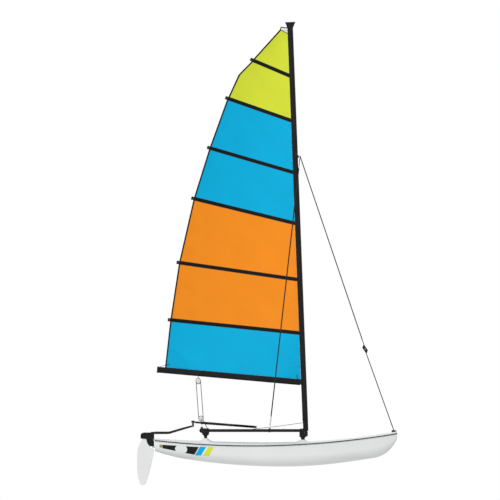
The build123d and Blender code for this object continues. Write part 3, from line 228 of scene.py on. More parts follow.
class Pattern(NodeBench):
    """Bench inside the group of one structure.

    The method named for a structure adds its nodes, and gives the sockets of its height and its mask.
    """

    def __init__(self, tree: bpy.types.NodeTree) -> None:
        """Keep the tree, and take the place and the scale from its entry."""
        super().__init__(tree)
        self.vector, self.scale = self.node("NodeGroupInput").outputs[:2]

    def patches(self, scale: float, detail: float, low: float, high: float) -> Socket:
        """Mask of soft patches, from a noise held between two limits."""
        return self.window(self.noise(self.vector, scale, detail), low, high)

    def threads(self) -> Relief:
        """Two crossed sets of threads as waves from 0 to 1.

        Returns:
            Both waves.
        """
        axes = self.node("ShaderNodeSeparateXYZ", {"Vector": self.vector})
        turns = self.math("MULTIPLY", self.scale, TURN)
        waves = []
        for axis in ("X", "Y"):
            angle = self.math("MULTIPLY", axes.outputs[axis], turns)
            waves.append(self.math("ABSOLUTE", self.math("SINE", angle)))
        return tuple(waves)

    def gelcoat(self) -> Relief:
        """Long shallow ripple of polished gelcoat, with broad soft patches."""
        return self.noise(self.vector, self.scale, 1.0), self.patches(1.3, 2.0, 0.35, 0.75)

    def grip(self) -> Relief:
        """Pebbles of a moulded deck."""
        cells = self.node("ShaderNodeTexVoronoi", {"Vector": self.vector, "Scale": self.scale})
        return self.math("SUBTRACT", 1.0, cells.outputs["Distance"]), self.patches(2.0, 4.0, 0.4, 0.8)

    def weave(self) -> Relief:
        """Fine plain weave, with the cloudy patches of handled cloth."""
        return self.math("MAXIMUM", *self.threads()), self.patches(2.2, 5.0, 0.3, 0.75)

    def mesh(self) -> Relief:
        """Open mesh: a grid of thick yarns, with painted shade as the dark holes between them."""
        yarns = self.math("MAXIMUM", *self.threads())
        return yarns, self.window(yarns, 0.55, 0.9)

    def braid(self) -> Relief:
        """Crossed strands of a braided rope, with flecks.

        Returns:
            Height and mask.
        """
        waves = []
        for angle in (0.7, -0.7):
            inputs = {"Vector": self.vector, "Rotation": (angle, angle, 0.0)}
            tilted = self.node("ShaderNodeMapping", inputs).outputs[0]
            wave = self.node("ShaderNodeTexWave", {"Vector": tilted, "Scale": self.scale})
            waves.append(wave.outputs["Fac"])
        flecks = self.noise(self.vector, self.math("MULTIPLY", self.scale, 1.5), 1.0)
        return self.math("MULTIPLY", *waves), self.window(flecks, 0.5, 0.58)

    def drawn(self) -> Relief:
        """Faint long streaks of a drawn and anodised tube."""
        thin = self.node("ShaderNodeMapping", {"Vector": self.vector, "Scale": (1.0, 1.0, 0.04)})
        return self.noise(thin.outputs[0], self.scale, 3.0), self.patches(3.0, 4.0, 0.45, 0.8)

    def cast(self) -> Relief:
        """Sandy grain of a coated casting."""
        return self.noise(self.vector, self.scale, 6.0), self.patches(9.0, 5.0, 0.5, 0.8)

    def stitched(self) -> Relief:
        """Tape with a row of stitches near each edge; X runs along it, Y from 0 to 1 across.

        Returns:
            Height and mask.
        """
        axes = self.node("ShaderNodeSeparateXYZ", {"Vector": self.vector})
        off_middle = self.math("ABSOLUTE", self.math("SUBTRACT", axes.outputs["Y"], 0.5))
        row = self.math("COMPARE", off_middle, 0.4)
        row.node.inputs[2].default_value = 0.035
        dash = self.math("FRACT", self.math("MULTIPLY", axes.outputs["X"], self.scale))
        stitch = self.math("MULTIPLY", row, self.math("LESS_THAN", dash, 0.6))
        return stitch, stitch

    def moulded(self) -> Relief:
        """Fine grain of a plastic moulding."""
        return self.noise(self.vector, self.scale, 3.0), self.patches(6.0, 3.0, 0.4, 0.8)

    def wear(self) -> Relief:
        """Broad patches, and thin scuffs as the mask.

        Returns:
            Height and mask.
        """
        stretched = self.node("ShaderNodeMapping", {"Vector": self.vector, "Scale": (1.0, 6.0, 2.0)})
        scuffs = self.window(self.noise(stretched.outputs[0], self.scale, 6.0), 0.6, 0.72)
        return self.noise(self.vector, self.math("MULTIPLY", self.scale, 0.2), 3.0), scuffs


class EffectShelf:
    """Shader node groups for the structures, each built once and then shared."""

    # columns: socket, side of the group, kind
    SOCKETS = (
        ("Vector", "INPUT", "Vector"),
        ("Scale", "INPUT", "Float"),
        ("Height", "OUTPUT", "Float"),
        ("Mask", "OUTPUT", "Float"),
    )
    _groups: dict[str, bpy.types.NodeTree] = {}

    @classmethod
    def group(cls, name: str, make: Callable[[Pattern], Relief]) -> bpy.types.NodeTree:
        """Give a group by name, built at first use.

        Args:
            name: The group's name.
            make: The method that adds the pattern's nodes.

        Returns:
            The node group, with inputs Vector and Scale and outputs Height and Mask.
        """
        if name in cls._groups:
            return cls._groups[name]
        tree = bpy.data.node_groups.new(name, "ShaderNodeTree")
        for socket, way, kind in cls.SOCKETS:
            tree.interface.new_socket(socket, in_out=way, socket_type=f"NodeSocket{kind}")
        pattern = Pattern(tree)
        height, mask = make(pattern)
        pattern.node("NodeGroupOutput", {"Height": height, "Mask": mask})
        cls._groups[name] = tree
        return tree

    @classmethod
    def structure(cls, texture: Texture) -> bpy.types.NodeTree:
        """Group of one surface structure."""
        return cls.group(texture.value, getattr(Pattern, texture.name.lower()))

    @classmethod
    def wear(cls) -> bpy.types.NodeTree:
        """Group of scuffs and soft patches that any finish can have."""
        return cls.group("handling_wear", Pattern.wear)


@dataclass(frozen=True)
class Finish:
    """One surface finish of the boat.

    Attributes:
        name: Name of the material.
        colour: Linear main colour.
        second: Linear colour where the structure's mask is full.
        texture: The surface structure.
        scale: Structure size, in cells or threads per metre.
        depth: Relief of the structure in metres.
        roughness: Middle roughness.
        spread: How far wear moves the roughness.
        worn: Linear colour of scuffs.
        worn_share: How strongly scuffs show.
        metallic: Metal share.
        coat: Weight of a clear coat.
        specular: Strength of the plain reflection.
        sheen: Weight of the cloth's sheen.
        along_uv: Whether the structure follows the piece's own map.
    """

    name: str
    colour: Colour
    second: Colour
    texture: Texture
    scale: float
    depth: float
    roughness: float
    spread: float = 0.08
    worn: Colour = (0.5, 0.5, 0.5)
    worn_share: float = 0.04
    metallic: float = 0.0
    coat: float = 0.0
    specular: float = 0.5
    sheen: float = 0.0
    along_uv: bool = False

    WEAR_SCALE = 14.0
    COAT_ROUGHNESS = 0.08

    def material(self) -> bpy.types.Material:
        """Build the material, or give the one already built.

        Returns:
            The material.
        """
        if self.name in bpy.data.materials:
            return bpy.data.materials[self.name]
        made = bpy.data.materials.new(self.name)
        made.use_nodes = True
        made.diffuse_color = (*self.colour, 1.0)
        tree = made.node_tree
        tree.nodes.clear()
        bench = NodeBench(tree)
        places = bench.node("ShaderNodeTexCoord")
        inputs = {"Vector": places.outputs["UV" if self.along_uv else "Object"], "Scale": self.scale}
        structure = bench.node("ShaderNodeGroup", inputs, node_tree=EffectShelf.structure(self.texture))
        inputs = {"Vector": places.outputs["Object"], "Scale": self.WEAR_SCALE}
        wear = bench.node("ShaderNodeGroup", inputs, node_tree=EffectShelf.wear())
        tinted = bench.blend(structure.outputs["Mask"], self.colour, self.second)
        scuffed = bench.math("MULTIPLY", wear.outputs["Mask"], self.worn_share)
        base = bench.blend(scuffed, tinted, self.worn)
        lift = bench.math("MULTIPLY", bench.math("SUBTRACT", wear.outputs["Height"], 0.5), self.spread * 2.0)
        rough = bench.math("ADD", lift, self.roughness)
        inputs = {"Height": structure.outputs["Height"], "Distance": self.depth, "Strength": 1.0}
        bump = bench.node("ShaderNodeBump", inputs)
        inputs = {
            "Base Color": base,
            "Roughness": rough,
            "Metallic": self.metallic,
            "Specular IOR Level": self.specular,
            "Coat Weight": self.coat,
            "Coat Roughness": self.COAT_ROUGHNESS,
            "Sheen Weight": self.sheen,
            "Normal": bump.outputs["Normal"],
        }
        shader = bench.node("ShaderNodeBsdfPrincipled", inputs)
        bench.node("ShaderNodeOutputMaterial", {"Surface": shader.outputs["BSDF"]})
        return made

    def dress(self, piece: Piece) -> Piece:
        """Give a piece this finish in all its slots.

        Args:
            piece: The piece to dress.

        Returns:
            The piece.
        """
        piece.data.materials.clear()
        piece.data.materials.append(self.material())
        return piece


LIME = screen(213, 224, 58)
CYAN = screen(0, 174, 221)
ORANGE = screen(247, 144, 30)
INK = (0.005, 0.005, 0.0055)
CHARCOAL = (0.013, 0.013, 0.014)


def deeper(colour: Colour, share: float) -> Colour:
    """Colour darkened to a share of itself."""
    return tuple(value * share for value in colour)


def cloth(name: str, colour: Colour) -> Finish:
    """Finish of a colour's sailcloth.

    Args:
        name: The colour's name.
        colour: The colour.

    Returns:
        The finish.
    """
    return Finish(
        f"{name}_sailcloth", colour, deeper(colour, 0.93), Texture.WEAVE, 330.0, 0.00025, 0.6,
        worn=deeper(colour, 0.8), worn_share=0.2, specular=0.12, along_uv=True,
    )


def patch(name: str, colour: Colour) -> Finish:
    """Finish of a colour's reinforcing patches, a little deeper than the cloth.

    Args:
        name: The colour's name.
        colour: The colour.

    Returns:
        The finish.
    """
    return Finish(
        f"{name}_patch", deeper(colour, 0.96), deeper(colour, 0.88), Texture.WEAVE, 300.0, 0.0003, 0.62,
        worn=deeper(colour, 0.75), worn_share=0.2, specular=0.12, along_uv=True,
    )


def film(name: str, colour: Colour) -> Finish:
    """Finish of a colour's sticky film.

    Args:
        name: The colour's name.
        colour: The colour.

    Returns:
        The finish.
    """
    return Finish(
        f"{name}_film", colour, deeper(colour, 0.95), Texture.MOULDED, 120.0, 0.00005, 0.4, 0.05,
        worn=deeper(colour, 0.85), worn_share=0.1, specular=0.15,
    )


class Finishes:
    """All the finishes of the boat, by the thing they cover."""

    GELCOAT = Finish(
        "white_gelcoat", (0.80, 0.81, 0.81), (0.75, 0.765, 0.77), Texture.GELCOAT, 9.0, 0.0012, 0.24, 0.05,
        worn=(0.6, 0.6, 0.58), worn_share=0.05, coat=0.35,
    )
    DECK = Finish(
        "deck_gelcoat", (0.70, 0.715, 0.72), (0.65, 0.665, 0.67), Texture.GRIP, 420.0, 0.0003, 0.46, 0.06,
        worn=(0.5, 0.5, 0.48), worn_share=0.06, specular=0.35,
    )
    GUNWALE = Finish(
        "gunwale_rubber", INK, CHARCOAL, Texture.MOULDED, 260.0, 0.0002, 0.5, 0.1,
        worn=(0.12, 0.12, 0.12), specular=0.15,
    )
    CASTING = Finish(
        "coated_casting", INK, CHARCOAL, Texture.CAST, 340.0, 0.0003, 0.46, 0.1,
        worn=(0.16, 0.16, 0.165), worn_share=0.10, specular=0.2,
    )
    TUBE = Finish(
        "anodised_tube", INK, CHARCOAL, Texture.DRAWN, 160.0, 0.0001, 0.4, 0.1,
        worn=(0.2, 0.2, 0.21), worn_share=0.08, specular=0.2,
    )
    SPAR = Finish(
        "anodised_spar", INK, (0.010, 0.010, 0.011), Texture.DRAWN, 190.0, 0.0001, 0.38, 0.1,
        worn=(0.18, 0.18, 0.185), worn_share=0.07, specular=0.2,
    )
    TRACK = Finish(
        "clear_anodised_track", (0.42, 0.43, 0.44), (0.36, 0.37, 0.38), Texture.DRAWN, 220.0, 0.0001, 0.38,
        0.1, metallic=1.0, worn=(0.7, 0.7, 0.7), worn_share=0.2,
    )
    STEEL = Finish(
        "stainless_steel", (0.50, 0.51, 0.52), (0.40, 0.41, 0.42), Texture.DRAWN, 400.0, 0.00008, 0.3, 0.1,
        metallic=1.0, worn=(0.65, 0.65, 0.65), worn_share=0.2,
    )
    DARK_STEEL = Finish(
        "dark_coated_steel", (0.022, 0.022, 0.024), (0.04, 0.04, 0.043), Texture.DRAWN, 300.0, 0.00008, 0.4,
        0.1, metallic=0.8, worn=(0.2, 0.2, 0.2), worn_share=0.15, specular=0.3,
    )
    BRASS = Finish(
        "aged_brass", (0.36, 0.29, 0.06), (0.25, 0.2, 0.05), Texture.CAST, 300.0, 0.0002, 0.42, 0.1,
        metallic=0.6, worn=(0.6, 0.5, 0.2), worn_share=0.2,
    )
    WIRE = Finish(
        "coated_wire", INK, CHARCOAL, Texture.BRAID, 220.0, 0.0004, 0.5,
        worn=(0.1, 0.1, 0.1), specular=0.15,
    )
    LIME_CLOTH, CYAN_CLOTH, ORANGE_CLOTH = cloth("lime", LIME), cloth("cyan", CYAN), cloth("orange", ORANGE)
    LIME_PATCH, CYAN_PATCH = patch("lime", LIME), patch("cyan", CYAN)
    TAPE = Finish(
        "black_sail_tape", INK, (0.07, 0.07, 0.07), Texture.STITCHED, 110.0, 0.0005, 0.65, 0.06,
        worn=(0.06, 0.06, 0.06), specular=0.12, along_uv=True,
    )
    # the main colour is painted shade in the mesh's holes; the yarns take the second colour
    MESH = Finish(
        "black_mesh", (0.003, 0.003, 0.0035), (0.025, 0.025, 0.027), Texture.MESH, 160.0, 0.0009, 0.65,
        worn=(0.08, 0.08, 0.08), worn_share=0.1, specular=0.15, along_uv=True,
    )
    WEBBING = Finish(
        "black_webbing", (0.009, 0.009, 0.0095), (0.08, 0.08, 0.08), Texture.STITCHED, 90.0, 0.0006, 0.7,
        0.06, specular=0.15, sheen=0.05, along_uv=True,
    )
    ROPE = Finish(
        "flecked_rope", (0.012, 0.012, 0.014), (0.11, 0.113, 0.12), Texture.BRAID, 130.0, 0.0012, 0.75, 0.06,
        specular=0.15, sheen=0.05,
    )
    CORD = Finish(
        "black_cord", (0.008, 0.008, 0.009), (0.05, 0.05, 0.05), Texture.BRAID, 180.0, 0.001, 0.72, 0.06,
        specular=0.15, sheen=0.05,
    )
    WHITE_PLATE = Finish(
        "white_plate", (0.78, 0.78, 0.78), (0.72, 0.72, 0.72), Texture.MOULDED, 300.0, 0.0001, 0.35,
        worn_share=0.1,
    )
    BLADE = Finish(
        "white_blade", (0.78, 0.79, 0.79), (0.72, 0.73, 0.73), Texture.GELCOAT, 14.0, 0.001, 0.3,
        worn=(0.5, 0.5, 0.48), worn_share=0.12, coat=0.2,
    )
    PLASTIC = Finish(
        "black_plastic", INK, CHARCOAL, Texture.MOULDED, 320.0, 0.0002, 0.5,
        worn=(0.12, 0.12, 0.12), specular=0.2,
    )
    FOAM = Finish(
        "foam_sleeve", (0.007, 0.007, 0.0075), (0.015, 0.015, 0.015), Texture.CAST, 500.0, 0.0006, 0.85, 0.05,
        worn=(0.06, 0.06, 0.06), specular=0.1,
    )
    DECAL_BLACK = Finish(
        "black_film", INK, (0.010, 0.010, 0.011), Texture.MOULDED, 120.0, 0.00005, 0.4, 0.05,
        worn=(0.15, 0.15, 0.15), worn_share=0.05, specular=0.2,
    )
    DECAL_CYAN, DECAL_LIME = film("cyan", CYAN), film("lime", LIME)
    FLOOR = Finish(
        "pale_floor", (0.50, 0.53, 0.55), (0.49, 0.52, 0.54), Texture.MOULDED, 3.0, 0.0001, 0.9, 0.02,
        worn=(0.5, 0.52, 0.54), worn_share=0.02, specular=0.1,
    )


class Bench:
    """Modelling steps, done as by hand with operators."""

    @staticmethod
    def clear() -> None:
        """Leave edit mode and deselect everything."""
        if bpy.context.mode != "OBJECT":
            bpy.ops.object.mode_set(mode="OBJECT")
        bpy.ops.object.select_all(action="DESELECT")

    @classmethod
    def pick(cls, *pieces: Piece) -> None:
        """Select just these pieces.

        Args:
            *pieces: The pieces, the first of them to be active.
        """
        cls.clear()
        for piece in pieces:
            piece.select_set(True)
        bpy.context.view_layer.objects.active = pieces[0]

    @classmethod
    def drum(
        cls, radius: float, depth: float, sides: int, edge: float = 0.0, segments: int = 2
    ) -> Piece:
        """Cylinder along Z, from 0 to its depth.

        Args:
            radius: Its radius.
            depth: Its depth.
            sides: Faces round it.
            edge: Width of its rounded edges; with 0 it stays sharp, ready to be shaped.
            segments: Faces across a rounded edge.

        Returns:
            The cylinder.
        """
        cls.clear()
        bpy.ops.mesh.primitive_cylinder_add(
            vertices=sides, radius=radius, depth=depth, location=(0.0, 0.0, depth / 2)
        )
        piece = cls.applied()
        return cls.rounded(piece, edge, segments) if edge else piece

    @classmethod
    def slab(cls, length: float, width: float, height: float, edge: float = 0.0) -> Piece:
        """Box on Z = 0.

        Args:
            length: Its length along X.
            width: Its width along Y.
            height: Its height.
            edge: Width of its rounded edges; with 0 it stays sharp, ready to be shaped.

        Returns:
            The box.
        """
        cls.clear()
        bpy.ops.mesh.primitive_cube_add(size=1.0, location=(0.0, 0.0, height / 2))
        bpy.ops.transform.resize(value=(length, width, height))
        piece = cls.applied()
        return cls.rounded(piece, edge) if edge else piece

    @classmethod
    def grid(cls, columns: int, rows: int) -> Piece:
        """Flat square net of faces from 0 to 1 both ways, with a map.

        Args:
            columns: Faces along X.
            rows: Faces along Y.

        Returns:
            The net.
        """
        cls.clear()
        bpy.ops.mesh.primitive_grid_add(
            x_subdivisions=columns, y_subdivisions=rows, size=1.0, location=(0.5, 0.5, 0.0)
        )
        return cls.applied()

    @classmethod
    def ring(cls, radius: float, wire: float, steps: int = 28, sides: int = 10) -> Piece:
        """Ring of round wire about Z.

        Args:
            radius: Its radius.
            wire: Radius of the wire.
            steps: Faces along the wire.
            sides: Faces round the wire.

        Returns:
            The ring.
        """
        cls.clear()
        bpy.ops.mesh.primitive_torus_add(
            major_radius=radius, minor_radius=wire, major_segments=steps, minor_segments=sides
        )
        return cls.smooth(cls.applied(), 60.0)

    @classmethod
    def groove(cls, wheel: Piece, rim: float, depth: float) -> None:
        """Sink a groove round a drum's side.

        Args:
            wheel: The drum.
            rim: Width of the rims that are left.
            depth: Depth of the groove.
        """
        cls.choose(wheel, lambda face: abs(face.normal.z) < 0.5)
        bpy.ops.mesh.inset(thickness=rim, depth=-depth)
        bpy.ops.object.mode_set(mode="OBJECT")

    @staticmethod
    def applied() -> Piece:
        """Put the active piece's place into its mesh and return the piece."""
        bpy.ops.object.transform_apply(location=True, rotation=True, scale=True)
        return bpy.context.active_object

    @classmethod
    def choose(cls, piece: Piece, test: Callable[[bmesh.types.BMFace], bool]) -> None:
        """Enter edit mode with the faces selected that pass a test.

        Args:
            piece: The piece to edit.
            test: Says of a face whether it is selected.
        """
        cls.pick(piece)
        bpy.ops.object.mode_set(mode="EDIT")
        bpy.ops.mesh.select_mode(type="FACE")
        bpy.ops.mesh.select_all(action="DESELECT")
        shape = bmesh.from_edit_mesh(piece.data)
        for face in shape.faces:
            face.select_set(test(face))
        shape.select_flush(True)
        bmesh.update_edit_mesh(piece.data)

    @classmethod
    def push(cls, piece: Piece, test: Callable, inset: float, way: Place) -> None:
        """Inset the chosen faces and extrude them.

        Args:
            piece: The piece to edit.
            test: Says of a face whether it is taken.
            inset: Width of the rim that is left.
            way: How far the faces move.
        """
        cls.choose(piece, test)
        if inset > 0.0:
            bpy.ops.mesh.inset(thickness=inset)
        bpy.ops.mesh.extrude_region_move(TRANSFORM_OT_translate={"value": tuple(way)})
        bpy.ops.object.mode_set(mode="OBJECT")

    @classmethod
    def raised(cls, piece: Piece, inset: float, rise: float, above: float = -math.inf) -> None:
        """Inset the faces that look up, and raise or sink them.

        Args:
            piece: The piece to change.
            inset: Width of the step round them.
            rise: How far they rise.
            above: Height that they have to lie over.
        """
        cls.push(
            piece, lambda face: face.normal.z > 0.9 and face.calc_center_median().z > above,
            inset, (0.0, 0.0, rise),
        )

    @classmethod
    def finish_with(cls, piece: Piece, kind: str, **settings: object) -> Piece:
        """Add a modifier, set it and apply it.

        Args:
            piece: The piece to change.
            kind: The modifier's type.
            **settings: The modifier's properties.

        Returns:
            The piece.
        """
        cls.pick(piece)
        modifier = piece.modifiers.new(kind.lower(), kind)
        for key, value in settings.items():
            setattr(modifier, key, value)
        bpy.ops.object.modifier_apply(modifier=modifier.name)
        return piece

    @classmethod
    def rounded(cls, piece: Piece, width: float, segments: int = 2) -> Piece:
        """Round the sharp edges of a piece."""
        cls.finish_with(piece, "BEVEL", width=width, segments=segments, limit_method="ANGLE")
        return cls.smooth(piece)

    @classmethod
    def smooth(cls, piece: Piece, degrees: float = 35.0) -> Piece:
        """Shade a piece smooth, apart from its sharp edges.

        Args:
            piece: The piece to shade.
            degrees: Angle from which an edge is sharp.

        Returns:
            The piece.
        """
        cls.pick(piece)
        bpy.ops.object.shade_smooth_by_angle(angle=math.radians(degrees))
        return piece

    @staticmethod
    def placed(piece: Piece, place: Matrix) -> Piece:
        """Move a piece's mesh to its place.

        Args:
            piece: The piece to move.
            place: The place.

        Returns:
            The piece.
        """
        piece.data.transform(place)
        piece.data.update()
        return piece

    @classmethod
    def copies(cls, master: Piece, places: Sequence[Matrix]) -> list[Piece]:
        """Copies of a piece at several places, each with its own mesh; the master goes.

        Args:
            master: The piece to copy.
            places: A placement for each copy.

        Returns:
            The copies.
        """
        made = []
        for place in places:
            twin = bpy.data.objects.new(master.name, master.data.copy())
            bpy.context.scene.collection.objects.link(twin)
            made.append(cls.placed(twin, place))
        bpy.data.objects.remove(master)
        return made

    @classmethod
    def joined(cls, name: str, pieces: Sequence[Piece]) -> Piece:
        """Join pieces to one with a name.

        Args:
            name: Name of the whole.
            pieces: The pieces.

        Returns:
            The whole.
        """
        cls.pick(*pieces)
        if len(pieces) > 1:
            bpy.ops.object.join()
        piece = bpy.context.active_object
        piece.name = name
        piece.data.name = name
        return piece

    @classmethod
    def line(
        cls, points: Sequence[Place], radius: float, sides: int = 8, closed: bool = False, taper: float = 1.0
    ) -> Piece:
        """Round bar, wire or taut line through points.

        Args:
            points: The points it passes through.
            radius: Its radius at the start.
            sides: Faces round it.
            closed: Whether it runs back to its start.
            taper: Share of the radius that is left at the end.

        Returns:
            The piece as a mesh.
        """
        cls.clear()
        curve = bpy.data.curves.new("line", "CURVE")
        curve.dimensions = "3D"
        curve.bevel_depth = radius
        curve.bevel_resolution = max(0, sides // 2 - 2)
        curve.use_fill_caps = True
        run = curve.splines.new("POLY")
        run.points.add(len(points) - 1)
        for index, (point, place) in enumerate(zip(run.points, points)):
            point.co = (*place, 1.0)
            point.radius = 1.0 + (taper - 1.0) * index / (len(points) - 1)
        run.use_cyclic_u = closed
        piece = bpy.data.objects.new("line", curve)
        bpy.context.scene.collection.objects.link(piece)
        cls.pick(piece)
        bpy.ops.object.convert(target="MESH")
        return cls.smooth(bpy.context.active_object, 50.0)


def arc(centre: Place, start: Place, normal: Place, degrees: float, steps: int) -> list[Vector]:
    """Points on an arc.

    Args:
        centre: Centre of the arc.
        start: Its first point.
        normal: Axis that it turns about.
        degrees: How far it turns.
        steps: Number of runs between its points.

    Returns:
        The points, first and last included.
    """
    middle = Vector(centre)
    spoke = Vector(start) - middle
    axis = Vector(normal)
    turns = spaced(0.0, math.radians(degrees), steps)
    return [middle + Matrix.Rotation(angle, 3, axis) @ spoke for angle in turns]


def straight(start: Place, end: Place, runs: int) -> list[Vector]:
    """Evenly spaced points from start to end."""
    return [mixed(start, end, share) for share in spaced(0.0, 1.0, runs)]


def mirrored(half: Sequence[tuple[Vector, float]]) -> list[Vector]:
    """Path along points of the middle plane set off to starboard, and back along them set off to port."""
    path = [spot - sideways(across) for spot, across in half]
    return path + [spot + sideways(across) for spot, across in reversed(half)]


def bent(knots: Sequence[Place], reach: float, runs: int = 6) -> list[Vector]:
    """Points of a bar that is straight between knots and bends round them.

    Args:
        knots: Its ends and the corners between them.
        reach: How far from a corner the bend starts.
        runs: Number of runs in a bend and in a straight stretch.

    Returns:
        The points from end to end.
    """
    spots = [Vector(knot) for knot in knots]
    points = [spots[0]]
    for before, corner, after in zip(spots, spots[1:], spots[2:]):
        start = corner + (before - corner).normalized() * reach
        end = corner + (after - corner).normalized() * reach
        points += straight(points[-1], start, runs)[1:]
        for share in spaced(0.0, 1.0, runs)[1:]:
            points.append(mixed(mixed(start, corner, share), mixed(corner, end, share), share))
    return points + straight(points[-1], spots[-1], runs)[1:]


@dataclass
class Studio:
    """Camera, floor and soft light round the boat.

    Attributes:
        aim: Point at the middle of the picture.
        picture: Width of the picture in metres.
        distance: How far off the camera stands.
        floor: Side of the floor.
        sky: Strength of the light from all round.
        key: Strength of the main lamp.
        key_turn: Turn of the main lamp in degrees.
        fill: Strength of the lamp on the other side.
        fill_turn: Turn of that lamp in degrees.
        lamp_angle: Width of the lamps as seen from the boat, in degrees.
    """

    aim: Place = (-0.4656, 0.0, 3.662)
    picture: float = 8.785
    distance: float = 40.0
    floor: float = 400.0
    sky: float = 0.68
    key: float = 1.66
    key_turn: Place = (52.0, 0.0, -38.0)
    fill: float = 0.38
    fill_turn: Place = (58.0, 0.0, 140.0)
    lamp_angle: float = 40.0

    def build(self) -> None:
        """Make camera, floor, lamps and surroundings."""
        self.make_camera()
        self.make_floor()
        self.make_lamp("key_light", self.key, self.key_turn)
        self.make_lamp("fill_light", self.fill, self.fill_turn)
        self.make_world()
        bpy.context.scene.view_settings.view_transform = "Standard"

    def make_camera(self) -> None:
        """Look at the starboard side, square to it and from far off."""
        lens = bpy.data.cameras.new("side_camera")
        lens.type = "ORTHO"
        lens.ortho_scale = self.picture
        lens.clip_end = self.floor
        camera = bpy.data.objects.new("side_camera", lens)
        camera.location = Vector(self.aim) - sideways(self.distance)
        camera.rotation_euler = (math.pi / 2, 0.0, 0.0)
        bpy.context.scene.collection.objects.link(camera)
        bpy.context.scene.camera = camera

    def make_floor(self) -> None:
        """Lay the pale floor at the waterline; it lets light pass to the hulls below it."""
        Bench.clear()
        bpy.ops.mesh.primitive_plane_add(size=self.floor, location=(0.0, 0.0, 0.0))
        floor = Finishes.FLOOR.dress(Bench.applied())
        floor.name = "floor"
        floor.visible_shadow = False
        floor.visible_diffuse = False

    def make_lamp(self, name: str, strength: float, turn: Place) -> None:
        """Add a wide soft sun.

        Args:
            name: The lamp's name.
            strength: Its strength.
            turn: Its turn in degrees.
        """
        lamp = bpy.data.lights.new(name, "SUN")
        lamp.energy = strength
        lamp.angle = math.radians(self.lamp_angle)
        holder = bpy.data.objects.new(name, lamp)
        holder.rotation_euler = tuple(math.radians(value) for value in turn)
        bpy.context.scene.collection.objects.link(holder)

    def make_world(self) -> None:
        """Even surroundings that look white and light the boat softly."""
        world = bpy.data.worlds.new("surroundings")
        bpy.context.scene.world = world
        world.use_nodes = True
        world.node_tree.nodes.clear()
        bench = NodeBench(world.node_tree)
        path = bench.node("ShaderNodeLightPath")
        seen = path.outputs["Is Camera Ray"]
        for ray in ("Is Glossy Ray", "Is Transmission Ray"):
            seen = bench.math("MAXIMUM", seen, path.outputs[ray])
        strength = bench.math("ADD", bench.math("MULTIPLY", seen, 1.0 - self.sky), self.sky)
        white = (1.0, 1.0, 1.0, 1.0)
        background = bench.node("ShaderNodeBackground", {"Color": white, "Strength": strength})
        bench.node("ShaderNodeOutputWorld", {"Surface": background.outputs["Background"]})


class Boat:
    """The loaded frame, with its nodes and joints by name."""

    def __init__(self, frame: dict) -> None:
        """Keep the nodes and joints of a loaded frame."""
        self.nodes: dict[str, Piece] = frame["nodes"]
        self.joints: dict[str, dict] = {joint["name"]: joint for joint in frame["joints"]}

    def hit(self, node: str, start: Place, way: Place) -> tuple[Vector, Vector]:
        """Find where a line meets a node.

        Args:
            node: The node's name.
            start: Where the line starts.
            way: Direction of the line.

        Returns:
            The point on the node's surface and the surface's normal.
        """
        found, point, normal, _ = self.nodes[node].ray_cast(Vector(start), Vector(way).normalized())
        if not found:
            raise ValueError(f"the line from {tuple(start)} misses {node}")
        return point, normal

    def mast(self) -> tuple[Vector, Vector, Vector]:
        """Axis on which the mast turns.

        Returns:
            Its foot, the direction up it and the direction ahead of it.
        """
        joint = self.joints["boom_swing"]
        up = Vector(joint["axis"]).normalized()
        return Vector(joint["pos_m"]), up, square_to(up)


@dataclass
class Assembly:
    """One sub-assembly of the boat.

    Attributes:
        boat: The loaded frame.
    """

    boat: Boat

    def add(
        self, name: str, pieces: Sequence[Piece], body: str, finish: Optional[Finish] = None, slot: str = "",
        replaces: Sequence[str] = (),
    ) -> None:
        """Join pieces to one that moves with a body.

        Args:
            name: Name of the whole.
            pieces: What it is joined from.
            body: The body it rides.
            finish: Its finish, where the pieces have none yet.
            slot: Name of a material slot; not used.
            replaces: Nodes that it stands for.
        """
        whole = Bench.joined(name, pieces)
        if finish is not None:
            finish.dress(whole)
        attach(whole, body)
        self.declare(whole, f"rides {body}", slot, replaces)

    def span(
        self, name: str, pieces: Sequence[Piece], bodies: tuple[str, str], ends: tuple[Place, Place],
        finish: Finish, slot: str,
    ) -> None:
        """Join pieces to one that runs between two bodies; it is not attached to either.

        Args:
            name: Name of the whole.
            pieces: What it is joined from.
            bodies: The body at its start and the one at its end.
            ends: Not used.
            finish: Its finish.
            slot: Name of a material slot; not used.
        """
        whole = finish.dress(Bench.joined(name, pieces))
        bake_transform(whole)
        self.declare(whole, f"bends between {bodies[0]} and {bodies[1]}", slot)

    @staticmethod
    def declare(whole: Piece, place: str, slot: str, replaces: Sequence[str] = ()) -> None:
        """Hide the nodes that a piece replaces, and report the piece.

        Args:
            whole: The piece.
            place: How it moves, in words.
            slot: Its material slot; not used.
            replaces: Nodes that it stands for.
        """
        if replaces:
            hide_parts(*replaces)
        LOG.info("%s: %d faces, %s", whole.name, len(whole.data.polygons), place)


